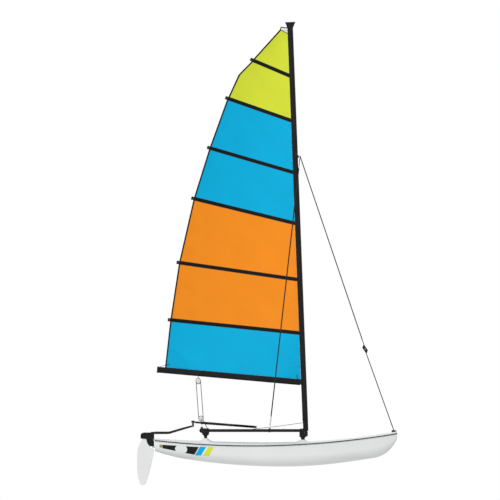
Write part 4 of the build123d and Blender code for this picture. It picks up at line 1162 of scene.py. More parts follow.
def net(name: str, rows: Sequence[Sequence[Vector]]) -> Piece:
    """Sheet through rows of points, with a map in metres.

    Args:
        name: The sheet's name.
        rows: Rows of as many points each.

    Returns:
        The sheet, a single layer.
    """
    across = len(rows[0])
    points = [tuple(point) for row in rows for point in row]
    faces = [
        (r * across + c, r * across + c + 1, (r + 1) * across + c + 1, (r + 1) * across + c)
        for r in range(len(rows) - 1)
        for c in range(across - 1)
    ]
    mesh = bpy.data.meshes.new(name)
    mesh.from_pydata(points, [], faces)
    drop = [0.0]
    for upper, lower in zip(rows, rows[1:]):
        drop.append(drop[-1] + (lower[0] - upper[0]).length)
    spots = []
    for row, down in zip(rows, drop):
        run = 0.0
        for index, point in enumerate(row):
            run += (point - row[index - 1]).length if index else 0.0
            spots.append((run, down))
    layer = mesh.uv_layers.new(name="UVMap")
    for loop in mesh.loops:
        layer.data[loop.index].uv = spots[loop.vertex_index]
    mesh.update()
    piece = bpy.data.objects.new(name, mesh)
    bpy.context.scene.collection.objects.link(piece)
    return piece


def tape_of(rows: Sequence[Sequence[Vector]], along_rows: bool) -> Piece:
    """Tape through rows of points, with a map in metres along it and from 0 to 1 across.

    Args:
        rows: Rows of as many points each.
        along_rows: Whether the tape runs along its rows.

    Returns:
        The tape, a single layer.
    """
    piece = net("tape", rows)
    columns = len(rows[0])
    layer = piece.data.uv_layers[0]
    for loop in piece.data.loops:
        row, column = divmod(loop.vertex_index, columns)
        run, down = layer.data[loop.index].uv
        spot = (run, row / (len(rows) - 1)) if along_rows else (down, column / (columns - 1))
        layer.data[loop.index].uv = spot
    return piece


def thickened(piece: Piece, thickness: float) -> Piece:
    """Give a sheet its thickness, half to each side, and shade it smooth."""
    Bench.finish_with(piece, "SOLIDIFY", thickness=thickness, offset=0.0)
    return Bench.smooth(piece)


@dataclass(frozen=True)
class SailEdge:
    """One arched edge across the sail.

    Attributes:
        front: Its point on the luff.
        back: Its point on the leech.
        camber: Depth of its arch as a share of its chord.
    """

    front: Vector
    back: Vector
    camber: float

    @property
    def chord(self) -> float:
        """Straight length from luff to leech."""
        return (self.back - self.front).length

    def point(self, share: float) -> Vector:
        """Point at a share of the way from luff to leech.

        Args:
            share: The share.

        Returns:
            The point on the arch.
        """
        depth = max(self.camber * self.chord, 1e-4)
        radius = (self.chord**2 / 4 + depth**2) / (2 * depth)
        off_middle = (share - 0.5) * self.chord
        lateral = math.sqrt(radius**2 - off_middle**2) - radius + depth
        return mixed(self.front, self.back, share) + sideways(lateral)


@dataclass
class Sail(Assembly):
    """Mainsail: cloth panels, batten pockets, leech tape, patches, rings and head.

    Attributes:
        setback: Distance of the luff behind the mast's axis.
        camber: Arch of the battens as a share of their chord.
        belly: Extra fullness of a panel between its battens.
        pull: Height of the short folds along the luff.
        pull_reach: Share of the chord over which those folds die out.
        ripple: Height of the soft folds all over a panel.
        cloth: Thickness of the cloth.
        ease: Flat size of the cloth as a share of its chord and height; not used.
        columns: Faces of a panel from luff to leech.
        row: Height of a row of faces.
        pocket: Width of a batten pocket.
        pocket_depth: Thickness of a pocket.
        ridge: Radius of the ridge that a batten makes.
        standout: How far a batten's end stands past the leech.
        cap_inside: Length of a batten's cap inside the leech.
        cap_depth: Thickness of a batten's cap.
        tape: Width of the leech tape.
        tape_depth: Thickness of the leech tape, which lies over the patches.
        tape_rows: Faces of the tape from batten to batten.
        patch_depth: What each layer of a patch adds to the cloth.
        lashing: Radius of the cord at the lower corners.
        edges: Edges of all panels and pockets, from the head to the foot.
    """

    setback: float = 0.0494
    camber: float = 0.045
    belly: float = 0.006
    pull: float = 0.0035
    pull_reach: float = 0.05
    ripple: float = 0.004
    cloth: float = 0.0016
    ease: float = 1.02
    columns: int = 56
    row: float = 0.05
    pocket: float = 0.063
    pocket_depth: float = 0.0044
    ridge: float = 0.0058
    standout: float = 0.045
    cap_inside: float = 0.035
    cap_depth: float = 0.013
    tape: float = 0.025
    tape_depth: float = 0.0056
    tape_rows: int = 16
    patch_depth: float = 0.0011
    lashing: float = 0.0035
    edges: Sequence[SailEdge] = ()

    BODY = "boom_sail"
    PEAK = Vector((0.074, 0.0, 7.583))
    HEAD_LEECH = Vector((0.062, 0.0, 7.538))
    HEADBOARD_FOOT = 7.462
    HEADBOARD_TOP = 7.572
    TACK = Vector((0.4275, 0.0, 1.3905))
    CLEW = Vector((-1.959, 0.0, 1.6014))
    OUTHAUL_END = Vector((-2.045, 0.0, 1.612))
    TACK_HOOK = Vector((0.375, -0.012, 1.394))
    # panel number: share of the way down its leech and reach of the corner that stands out there
    LEECH_CORNERS = {1: (0.425, 0.064)}
    # columns: luff height, leech along, leech height
    BATTENS = (
        (6.726, -0.422, 7.000),
        (5.937, -0.861, 6.328),
        (5.027, -1.177, 5.456),
        (4.131, -1.455, 4.567),
        (3.144, -1.713, 3.441),
        (2.204, -1.866, 2.434),
    )
    FOOT_PANEL = len(BATTENS)
    # shares of the foot panel, from luff to leech and down
    CLEW_RING = (0.975, 0.93)
    TACK_RING = (0.028, 0.93)
    # columns: name, node, finish, material slot, first panel, last panel
    COLOURS = (
        ("lime_panels", "sail_lime", Finishes.LIME_CLOTH, "cloth_lime", 0, 1),
        ("upper_cyan_panels", "sail_cyan_upper", Finishes.CYAN_CLOTH, "cloth_cyan", 2, 3),
        ("orange_panels", "sail_orange", Finishes.ORANGE_CLOTH, "cloth_orange", 4, 5),
        ("lower_cyan_panel", "sail_cyan_lower", Finishes.CYAN_CLOTH, "cloth_cyan", 6, 6),
    )
    # columns: panel, its corner as shares from luff to leech and down, reach as those shares, finish, slot
    PATCHES = (
        (6, (1.0, 1.0), (0.17, 0.42), Finishes.CYAN_PATCH, "cloth_cyan"),
        (6, (0.0, 1.0), (0.10, 0.32), Finishes.CYAN_PATCH, "cloth_cyan"),
        (0, (0.0, 0.0), (0.55, 0.30), Finishes.LIME_PATCH, "cloth_lime"),
    )
    PATCH_LAYERS = (1.0, 0.66)

    def build(self) -> None:
        """Make the sail from the head down."""
        self.edges = self.find_edges()
        for row in self.COLOURS:
            self.make_panels(*row)
        self.make_pockets()
        self.make_batten_ends()
        self.make_leech_tape()
        self.make_patches()
        self.make_rings()
        self.make_head()
        self.make_lashings()

    def luff(self, height: float) -> Vector:
        """Point on the luff at a height.

        Args:
            height: The height.

        Returns:
            The point.
        """
        foot, axis, ahead = self.boat.mast()
        share = (height - foot.z + self.setback * ahead.z) / axis.z
        return foot + axis * share - ahead * self.setback

    def find_edges(self) -> list[SailEdge]:
        """List the edges of all panels and pockets, from the head to the foot.

        Returns:
            The edges.
        """
        up_mast = self.boat.mast()[1]
        leech = [Vector((along, 0.0, height)) for _, along, height in self.BATTENS]
        ends = [self.HEAD_LEECH, *leech, self.CLEW]
        edges = [SailEdge(self.luff(self.HEADBOARD_FOOT), self.HEAD_LEECH, self.camber)]
        for index, (luff_height, _, _) in enumerate(self.BATTENS):
            front, back = self.luff(luff_height), leech[index]
            lift = square_to(back - front)
            for half, end in ((self.pocket / 2, ends[index]), (-self.pocket / 2, ends[index + 2])):
                along_leech = (end - back).normalized()
                edge_front = front + up_mast * (half / up_mast.dot(lift))
                edge_back = back + along_leech * (half / along_leech.dot(lift))
                edges.append(SailEdge(edge_front, edge_back, self.camber))
        edges.append(SailEdge(self.TACK, self.CLEW, 0.0))
        return edges

    def panel_edges(self, panel: int) -> tuple[SailEdge, SailEdge]:
        """Upper and lower edge of a panel."""
        return self.edges[2 * panel], self.edges[2 * panel + 1]

    def pocket_edges(self, number: int) -> tuple[SailEdge, SailEdge]:
        """Upper and lower edge of a batten's pocket."""
        return self.edges[2 * number + 1], self.edges[2 * number + 2]

    def skin(self, panel: int, share: float, down: float) -> Vector:
        """Point of a panel's cloth.

        Args:
            panel: Number of the panel from the head.
            share: Share of the way from luff to leech.
            down: Share of the way from its upper edge to its lower one.

        Returns:
            The point, with the panel's belly and its small folds.
        """
        upper, lower = self.panel_edges(panel)
        spot = mixed(upper.point(share), lower.point(share), down)
        inside = math.sin(math.pi * down)
        belly = self.belly * inside * math.sin(math.pi * share)
        folds = math.exp(-share / self.pull_reach) * math.sin(TURN * (3.0 * down + 4.0 * share))
        soft = noise.noise(Vector((spot.x * 1.7, panel * 3.0, spot.z * 2.6)))
        lateral = belly + inside * (self.pull * folds + self.ripple * soft)
        return spot + self.leech_corner(panel, down) * share + sideways(lateral)

    def leech_corner(self, panel: int, down: float) -> Vector:
        """How far a panel's leech stands out from the straight line between its battens.

        Args:
            panel: Number of the panel from the head.
            down: Share of the way from its upper edge to its lower one.

        Returns:
            The shift of the leech, square to it.
        """
        if panel not in self.LEECH_CORNERS:
            return Vector()
        corner, reach = self.LEECH_CORNERS[panel]
        upper, lower = self.panel_edges(panel)
        height = down / corner if down < corner else (1.0 - down) / (1.0 - corner)
        return square_to(lower.back - upper.back) * (reach * height)

    def make_panels(self, name: str, node: str, finish: Finish, slot: str, first: int, last: int) -> None:
        """Make the panels of one colour as one sheet of cloth.

        Args:
            name: Name of the sheet.
            node: The node it stands for.
            finish: Its finish.
            slot: Its material slot.
            first: Its first panel.
            last: Its last panel.
        """
        shares = spaced(0.0, 1.0, self.columns)
        parts, longest, drop = [], 0.0, 0.0
        for panel in range(first, last + 1):
            upper, lower = self.panel_edges(panel)
            height = max((lower.front - upper.front).length, (lower.back - upper.back).length)
            downs = spaced(0.0, 1.0, max(8, round(height / self.row)))
            parts.append(net(name, [[self.skin(panel, share, down) for share in shares] for down in downs]))
            longest = max(longest, upper.chord, lower.chord)
            drop += height
        cloth = Bench.joined(name, parts)
        self.add(name, [thickened(cloth, self.cloth)], self.BODY, finish, slot, [node])

    def make_pockets(self) -> None:
        """Sew the batten pockets on, each with the ridge of its batten."""
        tapes, rods = [], []
        shares = spaced(0.0, 1.0, self.columns)
        # the outer rows lie a little over the cloth of the panels
        downs = (-0.02, 0.25, 0.5, 0.75, 1.02)
        for number in range(len(self.BATTENS)):
            upper, lower = self.pocket_edges(number)
            lines = [(upper.point(share), lower.point(share)) for share in shares]
            rows = [[mixed(*ends, down) for ends in lines] for down in downs]
            tapes.append(thickened(tape_of(rows, True), self.pocket_depth))
            rods.append(Bench.line(rows[2][1:], self.ridge, 10))
        self.add("batten_pockets", tapes, self.BODY, Finishes.TAPE, "batten", ["battens"])
        self.add("batten_ridges", rods, self.BODY, Finishes.PLASTIC, "batten")

    def batten_end(self, number: int) -> Matrix:
        """Placement of a batten's end: local X runs aft along the batten, local Z to port.

        Args:
            number: Number of the batten from the head.

        Returns:
            The placement.
        """
        upper, lower = self.pocket_edges(number)
        back = mixed(upper.back, lower.back, 0.5)
        way = (back - mixed(upper.front, lower.front, 0.5)).normalized()
        aft = (way - sideways(4.0 * self.camber)).normalized()
        return Matrix.Translation(back) @ turned(aft, square_to(way))

    def make_batten_ends(self) -> None:
        """Cap the battens where they stand past the leech, with a screw in each side of a cap."""
        ends = [self.batten_end(number) for number in range(len(self.BATTENS))]
        cap = Bench.slab(self.standout + self.cap_inside, self.pocket - 0.004, self.cap_depth)
        Bench.push(cap, lambda face: face.normal.x > 0.9, 0.004, (0.0015, 0.0, 0.0))
        Bench.rounded(cap, 0.004, 3)
        shift = Matrix.Translation(((self.standout - self.cap_inside) / 2 - 0.001, 0.0, -self.cap_depth / 2))
        caps = Bench.copies(cap, [end @ shift for end in ends])
        self.add("batten_caps", caps, self.BODY, Finishes.PLASTIC, "batten")
        screw = Bench.drum(0.0042, 0.0016, 12, edge=0.0005)
        spots = []
        for end in ends:
            for side in SIGNS:
                spot = Matrix.Translation((0.014, 0.0, side * 0.0064))
                spots.append(end @ spot @ Matrix.Rotation(0.0 if side > 0 else math.pi, 4, "X"))
        screws = Bench.copies(screw, spots)
        self.add("batten_cap_screws", screws, self.BODY, Finishes.STEEL, "steel")

    def make_leech_tape(self) -> None:
        """Bind the leech of every panel with dark tape."""
        parts = []
        for panel in range(self.FOOT_PANEL + 1):
            upper, lower = self.panel_edges(panel)
            rows = []
            for down in spaced(0.0, 1.0, self.tape_rows):
                width = self.tape / ((1.0 - down) * upper.chord + down * lower.chord)
                rows.append([self.skin(panel, share, down) for share in (1.0 - width, 1.0 - width / 2, 1.0)])
            parts.append(thickened(tape_of(rows, False), self.tape_depth))
        self.add("leech_tape", parts, self.BODY, Finishes.TAPE, "batten")

    def make_patches(self) -> None:
        """Lay reinforcing patches over the clew, the tack and the head, each in layers."""
        steps = spaced(0.0, 1.0, 10)
        for number, (panel, corner, spread, finish, slot) in enumerate(self.PATCHES):
            for layer, size in enumerate(self.PATCH_LAYERS):
                rows = []
                for reach in steps[1:]:
                    row = []
                    for step in steps:
                        angle = step * math.pi / 2
                        share = abs(corner[0] - spread[0] * size * reach * math.cos(angle))
                        down = abs(corner[1] - spread[1] * size * reach * math.sin(angle))
                        row.append(self.skin(panel, min(share, 1.0), min(down, 1.0)))
                    rows.append(row)
                name = f"corner_patch_{number}_{layer}"
                patch = thickened(net(name, rows), self.cloth + self.patch_depth * (layer + 1))
                self.add(name, [patch], self.BODY, finish, slot)

    def make_rings(self) -> None:
        """Press rings into the lower corners."""
        spots = [self.skin(self.FOOT_PANEL, *place) for place in (self.CLEW_RING, self.TACK_RING)]
        rings = Bench.copies(Bench.ring(0.013, 0.0038), [frame_along(spot, PORT) for spot in spots])
        self.add("corner_rings", rings, self.BODY, Finishes.DARK_STEEL, "steel")

    def make_head(self) -> None:
        """Set the headboard on the sail's head, with its binding and its rivets."""
        low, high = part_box("headboard")
        thick = high.y - low.y
        shift = sideways((low.y + high.y) / 2)
        foot, top = self.luff(self.HEADBOARD_FOOT) + shift, self.luff(self.HEADBOARD_TOP) + shift
        peak, leech = self.PEAK + shift, self.HEAD_LEECH + shift
        middle = (foot + top + peak + leech) / 4
        board = Bench.grid(1, 1)
        corners = {(0, 0): leech, (1, 0): foot, (0, 1): peak, (1, 1): top}
        for vertex in board.data.vertices:
            vertex.co = corners[round(vertex.co.x), round(vertex.co.y)]
        Bench.finish_with(board, "SOLIDIFY", thickness=thick, offset=0.0)
        Bench.rounded(board, 0.002, 3)
        self.add("head_plate", [board], self.BODY, Finishes.WHITE_PLATE, "headboard", ["headboard"])
        overlap = 0.002
        strips = []
        for start, end, width in ((leech, peak, 0.016), (peak, top, 0.016), (foot, leech, 0.009)):
            run = end - start
            inward = (middle - start).cross(run).cross(run).normalized() * -1.0
            strip = Bench.slab(run.length + 2 * overlap, width, thick + 2 * overlap, edge=0.0012)
            centre = Matrix.Translation((start + end) / 2 + inward * (width / 2 - overlap))
            sunk = Matrix.Translation((0.0, 0.0, -thick / 2 - overlap))
            strips.append(Bench.placed(strip, centre @ turned(run.normalized(), inward) @ sunk))
        self.add("head_binding", strips, self.BODY, Finishes.PLASTIC, "batten")
        places = []
        for share in (0.18, 0.4, 0.62, 0.84):
            spot = mixed(mixed(foot, leech, share), middle, 0.45)
            for side in SIGNS:
                places.append(frame_along(spot + sideways(side * (thick / 2 - 0.0004)), (0.0, side, 0.0)))
        rivets = Bench.copies(Bench.drum(0.004, 0.0022, 14, edge=0.0008), places)
        self.add("headboard_rivets", rivets, self.BODY, Finishes.STEEL, "steel")

    def make_lashings(self) -> None:
        """Lash the clew to the boom's end and the tack to its front, with a fitting under the tack."""
        clew = self.skin(self.FOOT_PANEL, *self.CLEW_RING)
        turns = []
        for offset in (-0.006, 0.006):
            halfway = mixed(clew, self.OUTHAUL_END, 0.5) + Vector((0.0, offset * 1.6, 0.004))
            points = [clew + Vector((-0.012, offset, 0.0)), halfway, self.OUTHAUL_END]
            turns.append(Bench.line(points, self.lashing))
        self.add("outhaul", turns, self.BODY, Finishes.CORD, "wire")
        tack = self.skin(self.FOOT_PANEL, *self.TACK_RING)
        points = [tack + Vector((0.0, -0.008, -0.012)), tack + Vector((0.01, -0.012, -0.03)), self.TACK_HOOK]
        lashing = Bench.line(points, self.lashing)
        self.add("tack_lashing", [lashing], self.BODY, Finishes.CORD, "wire")
        height = 0.017
        fitting = Bench.slab(0.034, 0.030, height)
        Bench.raised(fitting, 0.005, 0.002)
        Bench.rounded(fitting, 0.003, 3)
        Bench.placed(fitting, Matrix.Translation(self.TACK + Vector((-0.0155, 0.0, -height))))
        self.add("tack_fitting", [fitting], self.BODY, Finishes.PLASTIC, "grip")


@dataclass
class Mainsheet(Assembly):
    """Tackle between the traveller car and the boom.

    Attributes:
        upper: Middle of the block under the boom.
        lower: Middle of the block on the car.
        upper_tall: Height of the upper block's cheeks as a share of their width.
        lower_tall: The same of the lower block.
        shell: Half of a cheek's width.
        face: Half of the width of the white plate on a cheek.
        sheave: Radius that the rope runs at.
        wheel: Thickness of a sheave.
        gap: Distance of a sheave from the block's middle.
        pin: Length of a block's pin.
        rope: Radius of the rope.
        bar: Radius of the bail and the strap that hold the blocks.
    """

    upper: tuple[float, float, float] = (-1.374, 0.0, 1.360)
    lower: tuple[float, float, float] = (-1.3265, 0.0, 0.702)
    upper_tall: float = 1.28
    lower_tall: float = 1.1
    shell: float = 0.045
    face: float = 0.037
    sheave: float = 0.040
    wheel: float = 0.013
    gap: float = 0.0115
    pin: float = 0.056
    rope: float = 0.006
    bar: float = 0.004

    # columns: place of a cheek across the block, side that it faces
    CHEEKS = ((-0.0205, -1.0), (-0.002, 1.0), (0.0205, 1.0))
    TAIL = ((-1.235, 0.0, 0.56), (-1.192, 0.0, 0.503))
    KNOT = Vector((-1.190, 0.0, 0.500))
    KNOT_WAYS = ((0.2, 0.1, 1.0), (1.0, 0.2, 0.2), (0.1, 1.0, 0.3))

    def build(self) -> None:
        """Make the blocks, their hangers and the falls between them."""
        self.make_block("upper_block", self.upper, 180.0, self.upper_tall, "boom_sail")
        self.make_block("lower_block", self.lower, -180.0, self.lower_tall, "platform")
        self.make_bail()
        self.make_strap()
        self.make_falls()
        self.make_tail()

    @staticmethod
    def oval(radius: float, depth: float, tall: float) -> Piece:
        """Oval plate on Z = 0, longer along Y.

        Args:
            radius: Half of its width.
            depth: Its thickness.
            tall: Its length as a share of its width.

        Returns:
            The plate.
        """
        plate = Bench.drum(radius, depth, 40)
        Bench.pick(plate)
        bpy.ops.transform.resize(value=(1.0, tall, 1.0))
        return Bench.applied()

    def make_block(self, name: str, centre: Place, sweep: float, tall: float, body: str) -> None:
        """Make a block of two sheaves between three cheeks.

        Args:
            name: Its name.
            centre: Its middle.
            sweep: Turn of the rope over its sheaves, in degrees.
            tall: Height of its cheeks as a share of their width.
            body: The body it rides.
        """
        middle = Vector(centre)
        shell = Finishes.PLASTIC.dress(Bench.rounded(self.oval(self.shell, 0.004, tall), 0.0011))
        places = [frame_along(middle + sideways(across), (0.0, way, 0.0)) for across, way in self.CHEEKS]
        pieces = Bench.copies(shell, places)
        face = self.oval(self.face, 0.0058, tall)
        Bench.raised(face, 0.014, 0.0012)
        Finishes.WHITE_PLATE.dress(Bench.rounded(face, 0.0009))
        pieces += Bench.copies(face, [places[0], places[2]])
        wheel = Bench.drum(self.sheave + 0.001, self.wheel, 32)
        Bench.groove(wheel, 0.002, 0.005)
        Finishes.PLASTIC.dress(Bench.smooth(wheel))
        spots = [middle + sideways(side * self.gap - self.wheel / 2) for side in SIGNS]
        pieces += Bench.copies(wheel, [frame_along(spot, PORT) for spot in spots])
        pin = Finishes.STEEL.dress(Bench.drum(0.007, self.pin, 16, edge=0.0015))
        pieces.append(Bench.placed(pin, frame_along(middle - sideways(self.pin / 2), PORT)))
        for side in SIGNS:
            hub = middle + sideways(side * self.gap)
            turn = arc(hub, hub - Vector((self.sheave, 0.0, 0.0)), PORT, sweep, 16)
            pieces.append(Finishes.ROPE.dress(Bench.line(turn, self.rope)))
        self.add(name, pieces, body, slot="grip")

    def make_bail(self) -> None:
        """Hang the upper block from a bail that is riveted to the boom's sides."""
        x, _, z = self.upper
        under = self.boat.hit("boom", (x, 0.0, z), UP)[0].z
        reach = 0.004 - self.boat.hit("boom", (x, -0.3, under + 0.05), PORT)[0].y
        rivet, bend, low, hub, top = (
            Vector((x, 0.0, under + rise)) for rise in (0.055, 0.004, -0.022, -0.026, -0.012)
        )
        path = mirrored([(rivet, reach), (bend, reach), (low, 0.016)])
        eye = arc(hub, top, AHEAD, 360.0, 20)[:-1]
        pieces = [Bench.line(path, self.bar, 10), Bench.line(eye, 0.0035, 8, True)]
        heads = [sideways(sign * (reach - 0.005)) for sign in SIGNS]
        places = [frame_along(rivet + head, head) for head in heads]
        pieces += Bench.copies(Bench.drum(0.011, 0.006, 18, edge=0.0015), places)
        self.add("boom_bail", pieces, "boom_sail", Finishes.DARK_STEEL, "steel")

    def make_strap(self) -> None:
        """Stand the lower block on a strap on the car."""
        low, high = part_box("traveller_car")
        foot = Vector(((low.x + high.x) / 2, 0.0, high.z))
        leg = [foot - Vector((0.0, 0.0, 0.001)), foot + Vector((0.0, 0.0, 0.05))]
        leg.append(Vector(self.lower) - Vector((0.0, 0.0, 0.035)))
        strap = Bench.line(mirrored([(spot, 0.012) for spot in leg]), self.bar, 10)
        self.add("lower_strap", [strap], "platform", Finishes.STEEL, "steel")

    def make_falls(self) -> None:
        """Run the four falls between the blocks."""
        top, foot = Vector(self.upper), Vector(self.lower)
        falls = []
        for side in SIGNS:
            for edge in SIGNS:
                shift = Vector((edge * self.sheave, side * self.gap, 0.0))
                falls.append(Bench.line(straight(foot + shift, top + shift, 40), self.rope))
        ends = (foot + Vector((0.0, 0.0, 0.03)), top - Vector((0.0, 0.0, 0.05)))
        self.span("mainsheet_falls", falls, ("platform", "boom_sail"), ends, Finishes.ROPE, "wire")

    def make_tail(self) -> None:
        """Lead the tail from the lower block to a knot at the trampoline's hem."""
        foot = Vector(self.lower)
        points = [foot + Vector((0.036, 0.0, -0.018)), foot + Vector((0.062, 0.0, -0.075)), *self.TAIL]
        places = [frame_along(self.KNOT, way) for way in self.KNOT_WAYS]
        knot = Bench.copies(Bench.ring(0.009, 0.0055), places)
        pieces = [Bench.line(points, self.rope), *knot]
        self.add("mainsheet_tail", pieces, "platform", Finishes.ROPE, "wire")


@dataclass
class Trampoline(Assembly):
    """Mesh deck between the rails, with hems, rings, lacing and foot straps.

    Attributes:
        front: Front edge along the boat.
        rear: Rear edge.
        notch: Where the rear corners are cut away.
        half: Half of its width.
        notch_half: Half of its width behind the notch.
        height: Height of its middle plane.
        sag: How far its middle hangs down.
        sag_half: Half of the width that hangs down.
        mesh: Thickness of the mesh.
        columns: Faces from side to side.
        rows: Faces from the front to the notch.
        hem: Width of a hem.
        hem_depth: Thickness of a hem.
        rings: Number of rings in a hem.
        lace: Radius of the lacing.
        lace_half: Half of the laced width.
        strap: Width of a foot strap.
        strap_depth: Thickness of a foot strap.
        strap_across: Distance of a foot strap from the middle.
        strap_arch: How far a foot strap arches up.
        strap_rows: Faces along a foot strap.
    """

    front: float = 0.396
    rear: float = -1.238
    notch: float = -1.168
    half: float = 0.991
    notch_half: float = 0.935
    height: float = 0.490
    sag: float = 0.011
    sag_half: float = 0.96
    mesh: float = 0.0022
    columns: int = 48
    rows: int = 40
    hem: float = 0.045
    hem_depth: float = 0.0052
    rings: int = 20
    lace: float = 0.0028
    lace_half: float = 0.88
    strap: float = 0.045
    strap_depth: float = 0.0028
    strap_across: float = 0.46
    strap_arch: float = 0.016
    strap_rows: int = 48

    # columns: ring place along, beam place along, beam height
    LACING = ((0.380, 0.434, 0.442), (-1.222, -1.277, 0.486))

    def build(self) -> None:
        """Make the mesh and what holds it."""
        self.make_mesh()
        self.make_hems()
        self.make_lacing()
        self.make_straps()

    def surface(self, along: float, across: float) -> Vector:
        """Point of the mesh at a place along and across the boat.

        Args:
            along: Distance ahead of the origin.
            across: Distance to port of it.

        Returns:
            The point.
        """
        share = (along - self.rear) / (self.front - self.rear)
        wide = max(0.0, 1.0 - (across / self.sag_half) ** 2)
        return Vector((along, across, self.height - self.sag * wide * math.sin(math.pi * share)))

    def rows_of(self, half: float, start: float, end: float, runs: int) -> list[list[Vector]]:
        """Rows of points of the mesh from a start to an end along the boat, each from side to side."""
        across = spaced(-half, half, self.columns)
        return [[self.surface(x, y) for y in across] for x in spaced(start, end, runs)]

    def make_mesh(self) -> None:
        """Stretch the mesh between rails and beams, cut away at the rear corners."""
        fore = net("fore", self.rows_of(self.half, self.front, self.notch, self.rows))
        aft = net("aft", self.rows_of(self.notch_half, self.notch, self.rear, 4))
        mesh = Bench.joined("mesh_deck", [fore, aft])
        thickened(mesh, self.mesh)
        self.add("mesh_deck", [mesh], "platform", Finishes.MESH, "mesh", ["trampoline"])

    def make_hems(self) -> None:
        """Sew a band along each edge."""
        bands = [
            self.rows_of(self.half - 0.012, self.front, self.front - self.hem, 3),
            self.rows_of(self.notch_half, self.rear + self.hem, self.rear, 3),
        ]
        along = spaced(self.front - 0.01, self.notch, self.rows)
        outer = self.half - 0.016
        for side in SIGNS:
            across = [side * edge for edge in spaced(outer, outer - self.hem, 3)]
            bands.append([[self.surface(x, y) for x in along] for y in across])
        tapes = [thickened(tape_of(rows, True), self.hem_depth) for rows in bands]
        self.add("mesh_hems", tapes, "platform", Finishes.WEBBING, "mesh")

    def make_lacing(self) -> None:
        """Set rings in the front and rear hems and lace them to the beams."""
        places, cords = [], []
        half_gap = self.lace_half / (self.rings - 1)
        for along, beam, beam_height in self.LACING:
            points = []
            for across in spaced(-self.lace_half, self.lace_half, self.rings - 1):
                spot = self.surface(along, across)
                places.append(frame_along(spot, UP))
                points.append(spot + Vector((0.0, 0.0, 0.005)))
                points.append(Vector((beam, across + half_gap, beam_height)))
            cords.append(Bench.line(points[:-1], self.lace, 6))
        rings = Bench.copies(Bench.ring(0.0085, 0.0026, 18, 8), places)
        self.add("hem_rings", rings, "platform", Finishes.STEEL, "steel")
        self.add("lacing", cords, "platform", Finishes.CORD, "wire")

    def make_straps(self) -> None:
        """Run the two foot straps fore and aft above the mesh."""
        inset = 0.05
        shares = (-0.5, -0.2, 0.2, 0.5)
        for side, sign in SIDES.items():
            rows = []
            for step, along in enumerate(spaced(self.front - inset, self.rear + inset, self.strap_rows)):
                arch = self.strap_arch * math.sin(math.pi * step / self.strap_rows)
                middle = Vector((along, sign * self.strap_across, self.height + 0.004 + arch))
                rows.append([middle + sideways(self.strap * share) for share in shares])
            strap = tape_of(rows, False)
            thickened(strap, self.strap_depth)
            self.add(f"foot_strap_{side}", [strap], "platform", Finishes.WEBBING, "mesh")


@dataclass
class Hulls(Assembly):
    """Stern stripes and drain plugs on the hulls.

    Attributes:
        film: Thickness of the stripe film.
        outside: Distance from the middle of the boat, past the hulls.
        plug_along: Where a drain plug is, along the boat.
        plug_height: Height of a drain plug.
        plug_radius: Radius of a drain plug.
    """

    film: float = 0.0008
    outside: float = 1.5
    plug_along: float = -2.031
    plug_height: float = 0.217
    plug_radius: float = 0.027

    # columns: name, finish, corners (rear top, front top, rear foot, front foot) as along and height,
    # bow of the rear end and of the front end
    STRIPES = (
        ("stern_wedge_rear", Finishes.DECAL_BLACK,
         ((-2.003, 0.2395), (-1.752, 0.2245), (-2.003, 0.178), (-1.765, 0.1310)), 0.0, -0.024),
        ("stern_wedge_front", Finishes.DECAL_BLACK,
         ((-1.594, 0.2136), (-1.365, 0.201), (-1.604, 0.0945), (-1.441, 0.066)), 0.030, 0.0),
        ("cyan_stripe", Finishes.DECAL_CYAN,
         ((-1.346, 0.206), (-1.235, 0.2035), (-1.432, 0.053), (-1.3265, 0.051)), 0.0, 0.0),
        ("lime_stripe", Finishes.DECAL_LIME,
         ((-1.2035, 0.201), (-1.103, 0.1985), (-1.293, 0.0445), (-1.188, 0.0425)), 0.0, 0.0),
    )

    def build(self) -> None:
        """Lay the stripes and set the plugs, on both outboard sides."""
        for side in SIDES:
            for name, finish, corners, *bows in self.STRIPES:
                self.lay_film(f"{name}_{side}", finish, corners, bows, side)
            self.set_plug(side)

    def lay_film(self, name: str, finish: Finish, corners: Sequence, bows: Sequence, side: str) -> None:
        """Press a strip of film on a hull's outboard side.

        Args:
            name: Its name.
            finish: Its finish.
            corners: Its corners as along and height: rear top, front top, rear foot, front foot.
            bows: How far forward the middle of its rear end and of its front end lies.
            side: Name of the hull's side.
        """
        sign = SIDES[side]
        film = Bench.grid(28, 14)
        rear_top, front_top, rear_foot, front_foot = (Vector((x, sign * self.outside, z)) for x, z in corners)
        for vertex in film.data.vertices:
            share = vertex.co.x if sign < 0 else 1.0 - vertex.co.x
            rise = vertex.co.y
            vertex.co = mixed(mixed(rear_foot, front_foot, share), mixed(rear_top, front_top, share), rise)
            vertex.co.x += 4.0 * rise * (1.0 - rise) * (bows[0] + (bows[1] - bows[0]) * share)
        Bench.finish_with(
            film, "SHRINKWRAP", target=self.boat.nodes[f"hull_{side}"], wrap_method="PROJECT",
            use_project_y=True, use_negative_direction=True, use_positive_direction=True,
            offset=self.film / 2,
        )
        Bench.finish_with(film, "SOLIDIFY", thickness=self.film, offset=1.0)
        self.add(name, [Bench.smooth(film)], "platform", finish, "hull")

    def set_plug(self, side: str) -> None:
        """Screw a drain plug into the stern of a hull.

        Args:
            side: Name of the hull's side.
        """
        start = (self.plug_along, SIDES[side] * self.outside, self.plug_height)
        spot, normal = self.boat.hit(f"hull_{side}", start, (0.0, -SIDES[side], 0.0))
        plug = Bench.drum(self.plug_radius, 0.006, 32)
        Bench.raised(plug, 0.007, 0.0025)
        Bench.raised(plug, 0.004, -0.002, above=0.008)
        Bench.rounded(plug, 0.0012)
        Bench.placed(plug, frame_along(spot - normal * 0.002, normal))
        self.add(f"drain_plug_{side}", [plug], "platform", Finishes.BRASS, "steel")


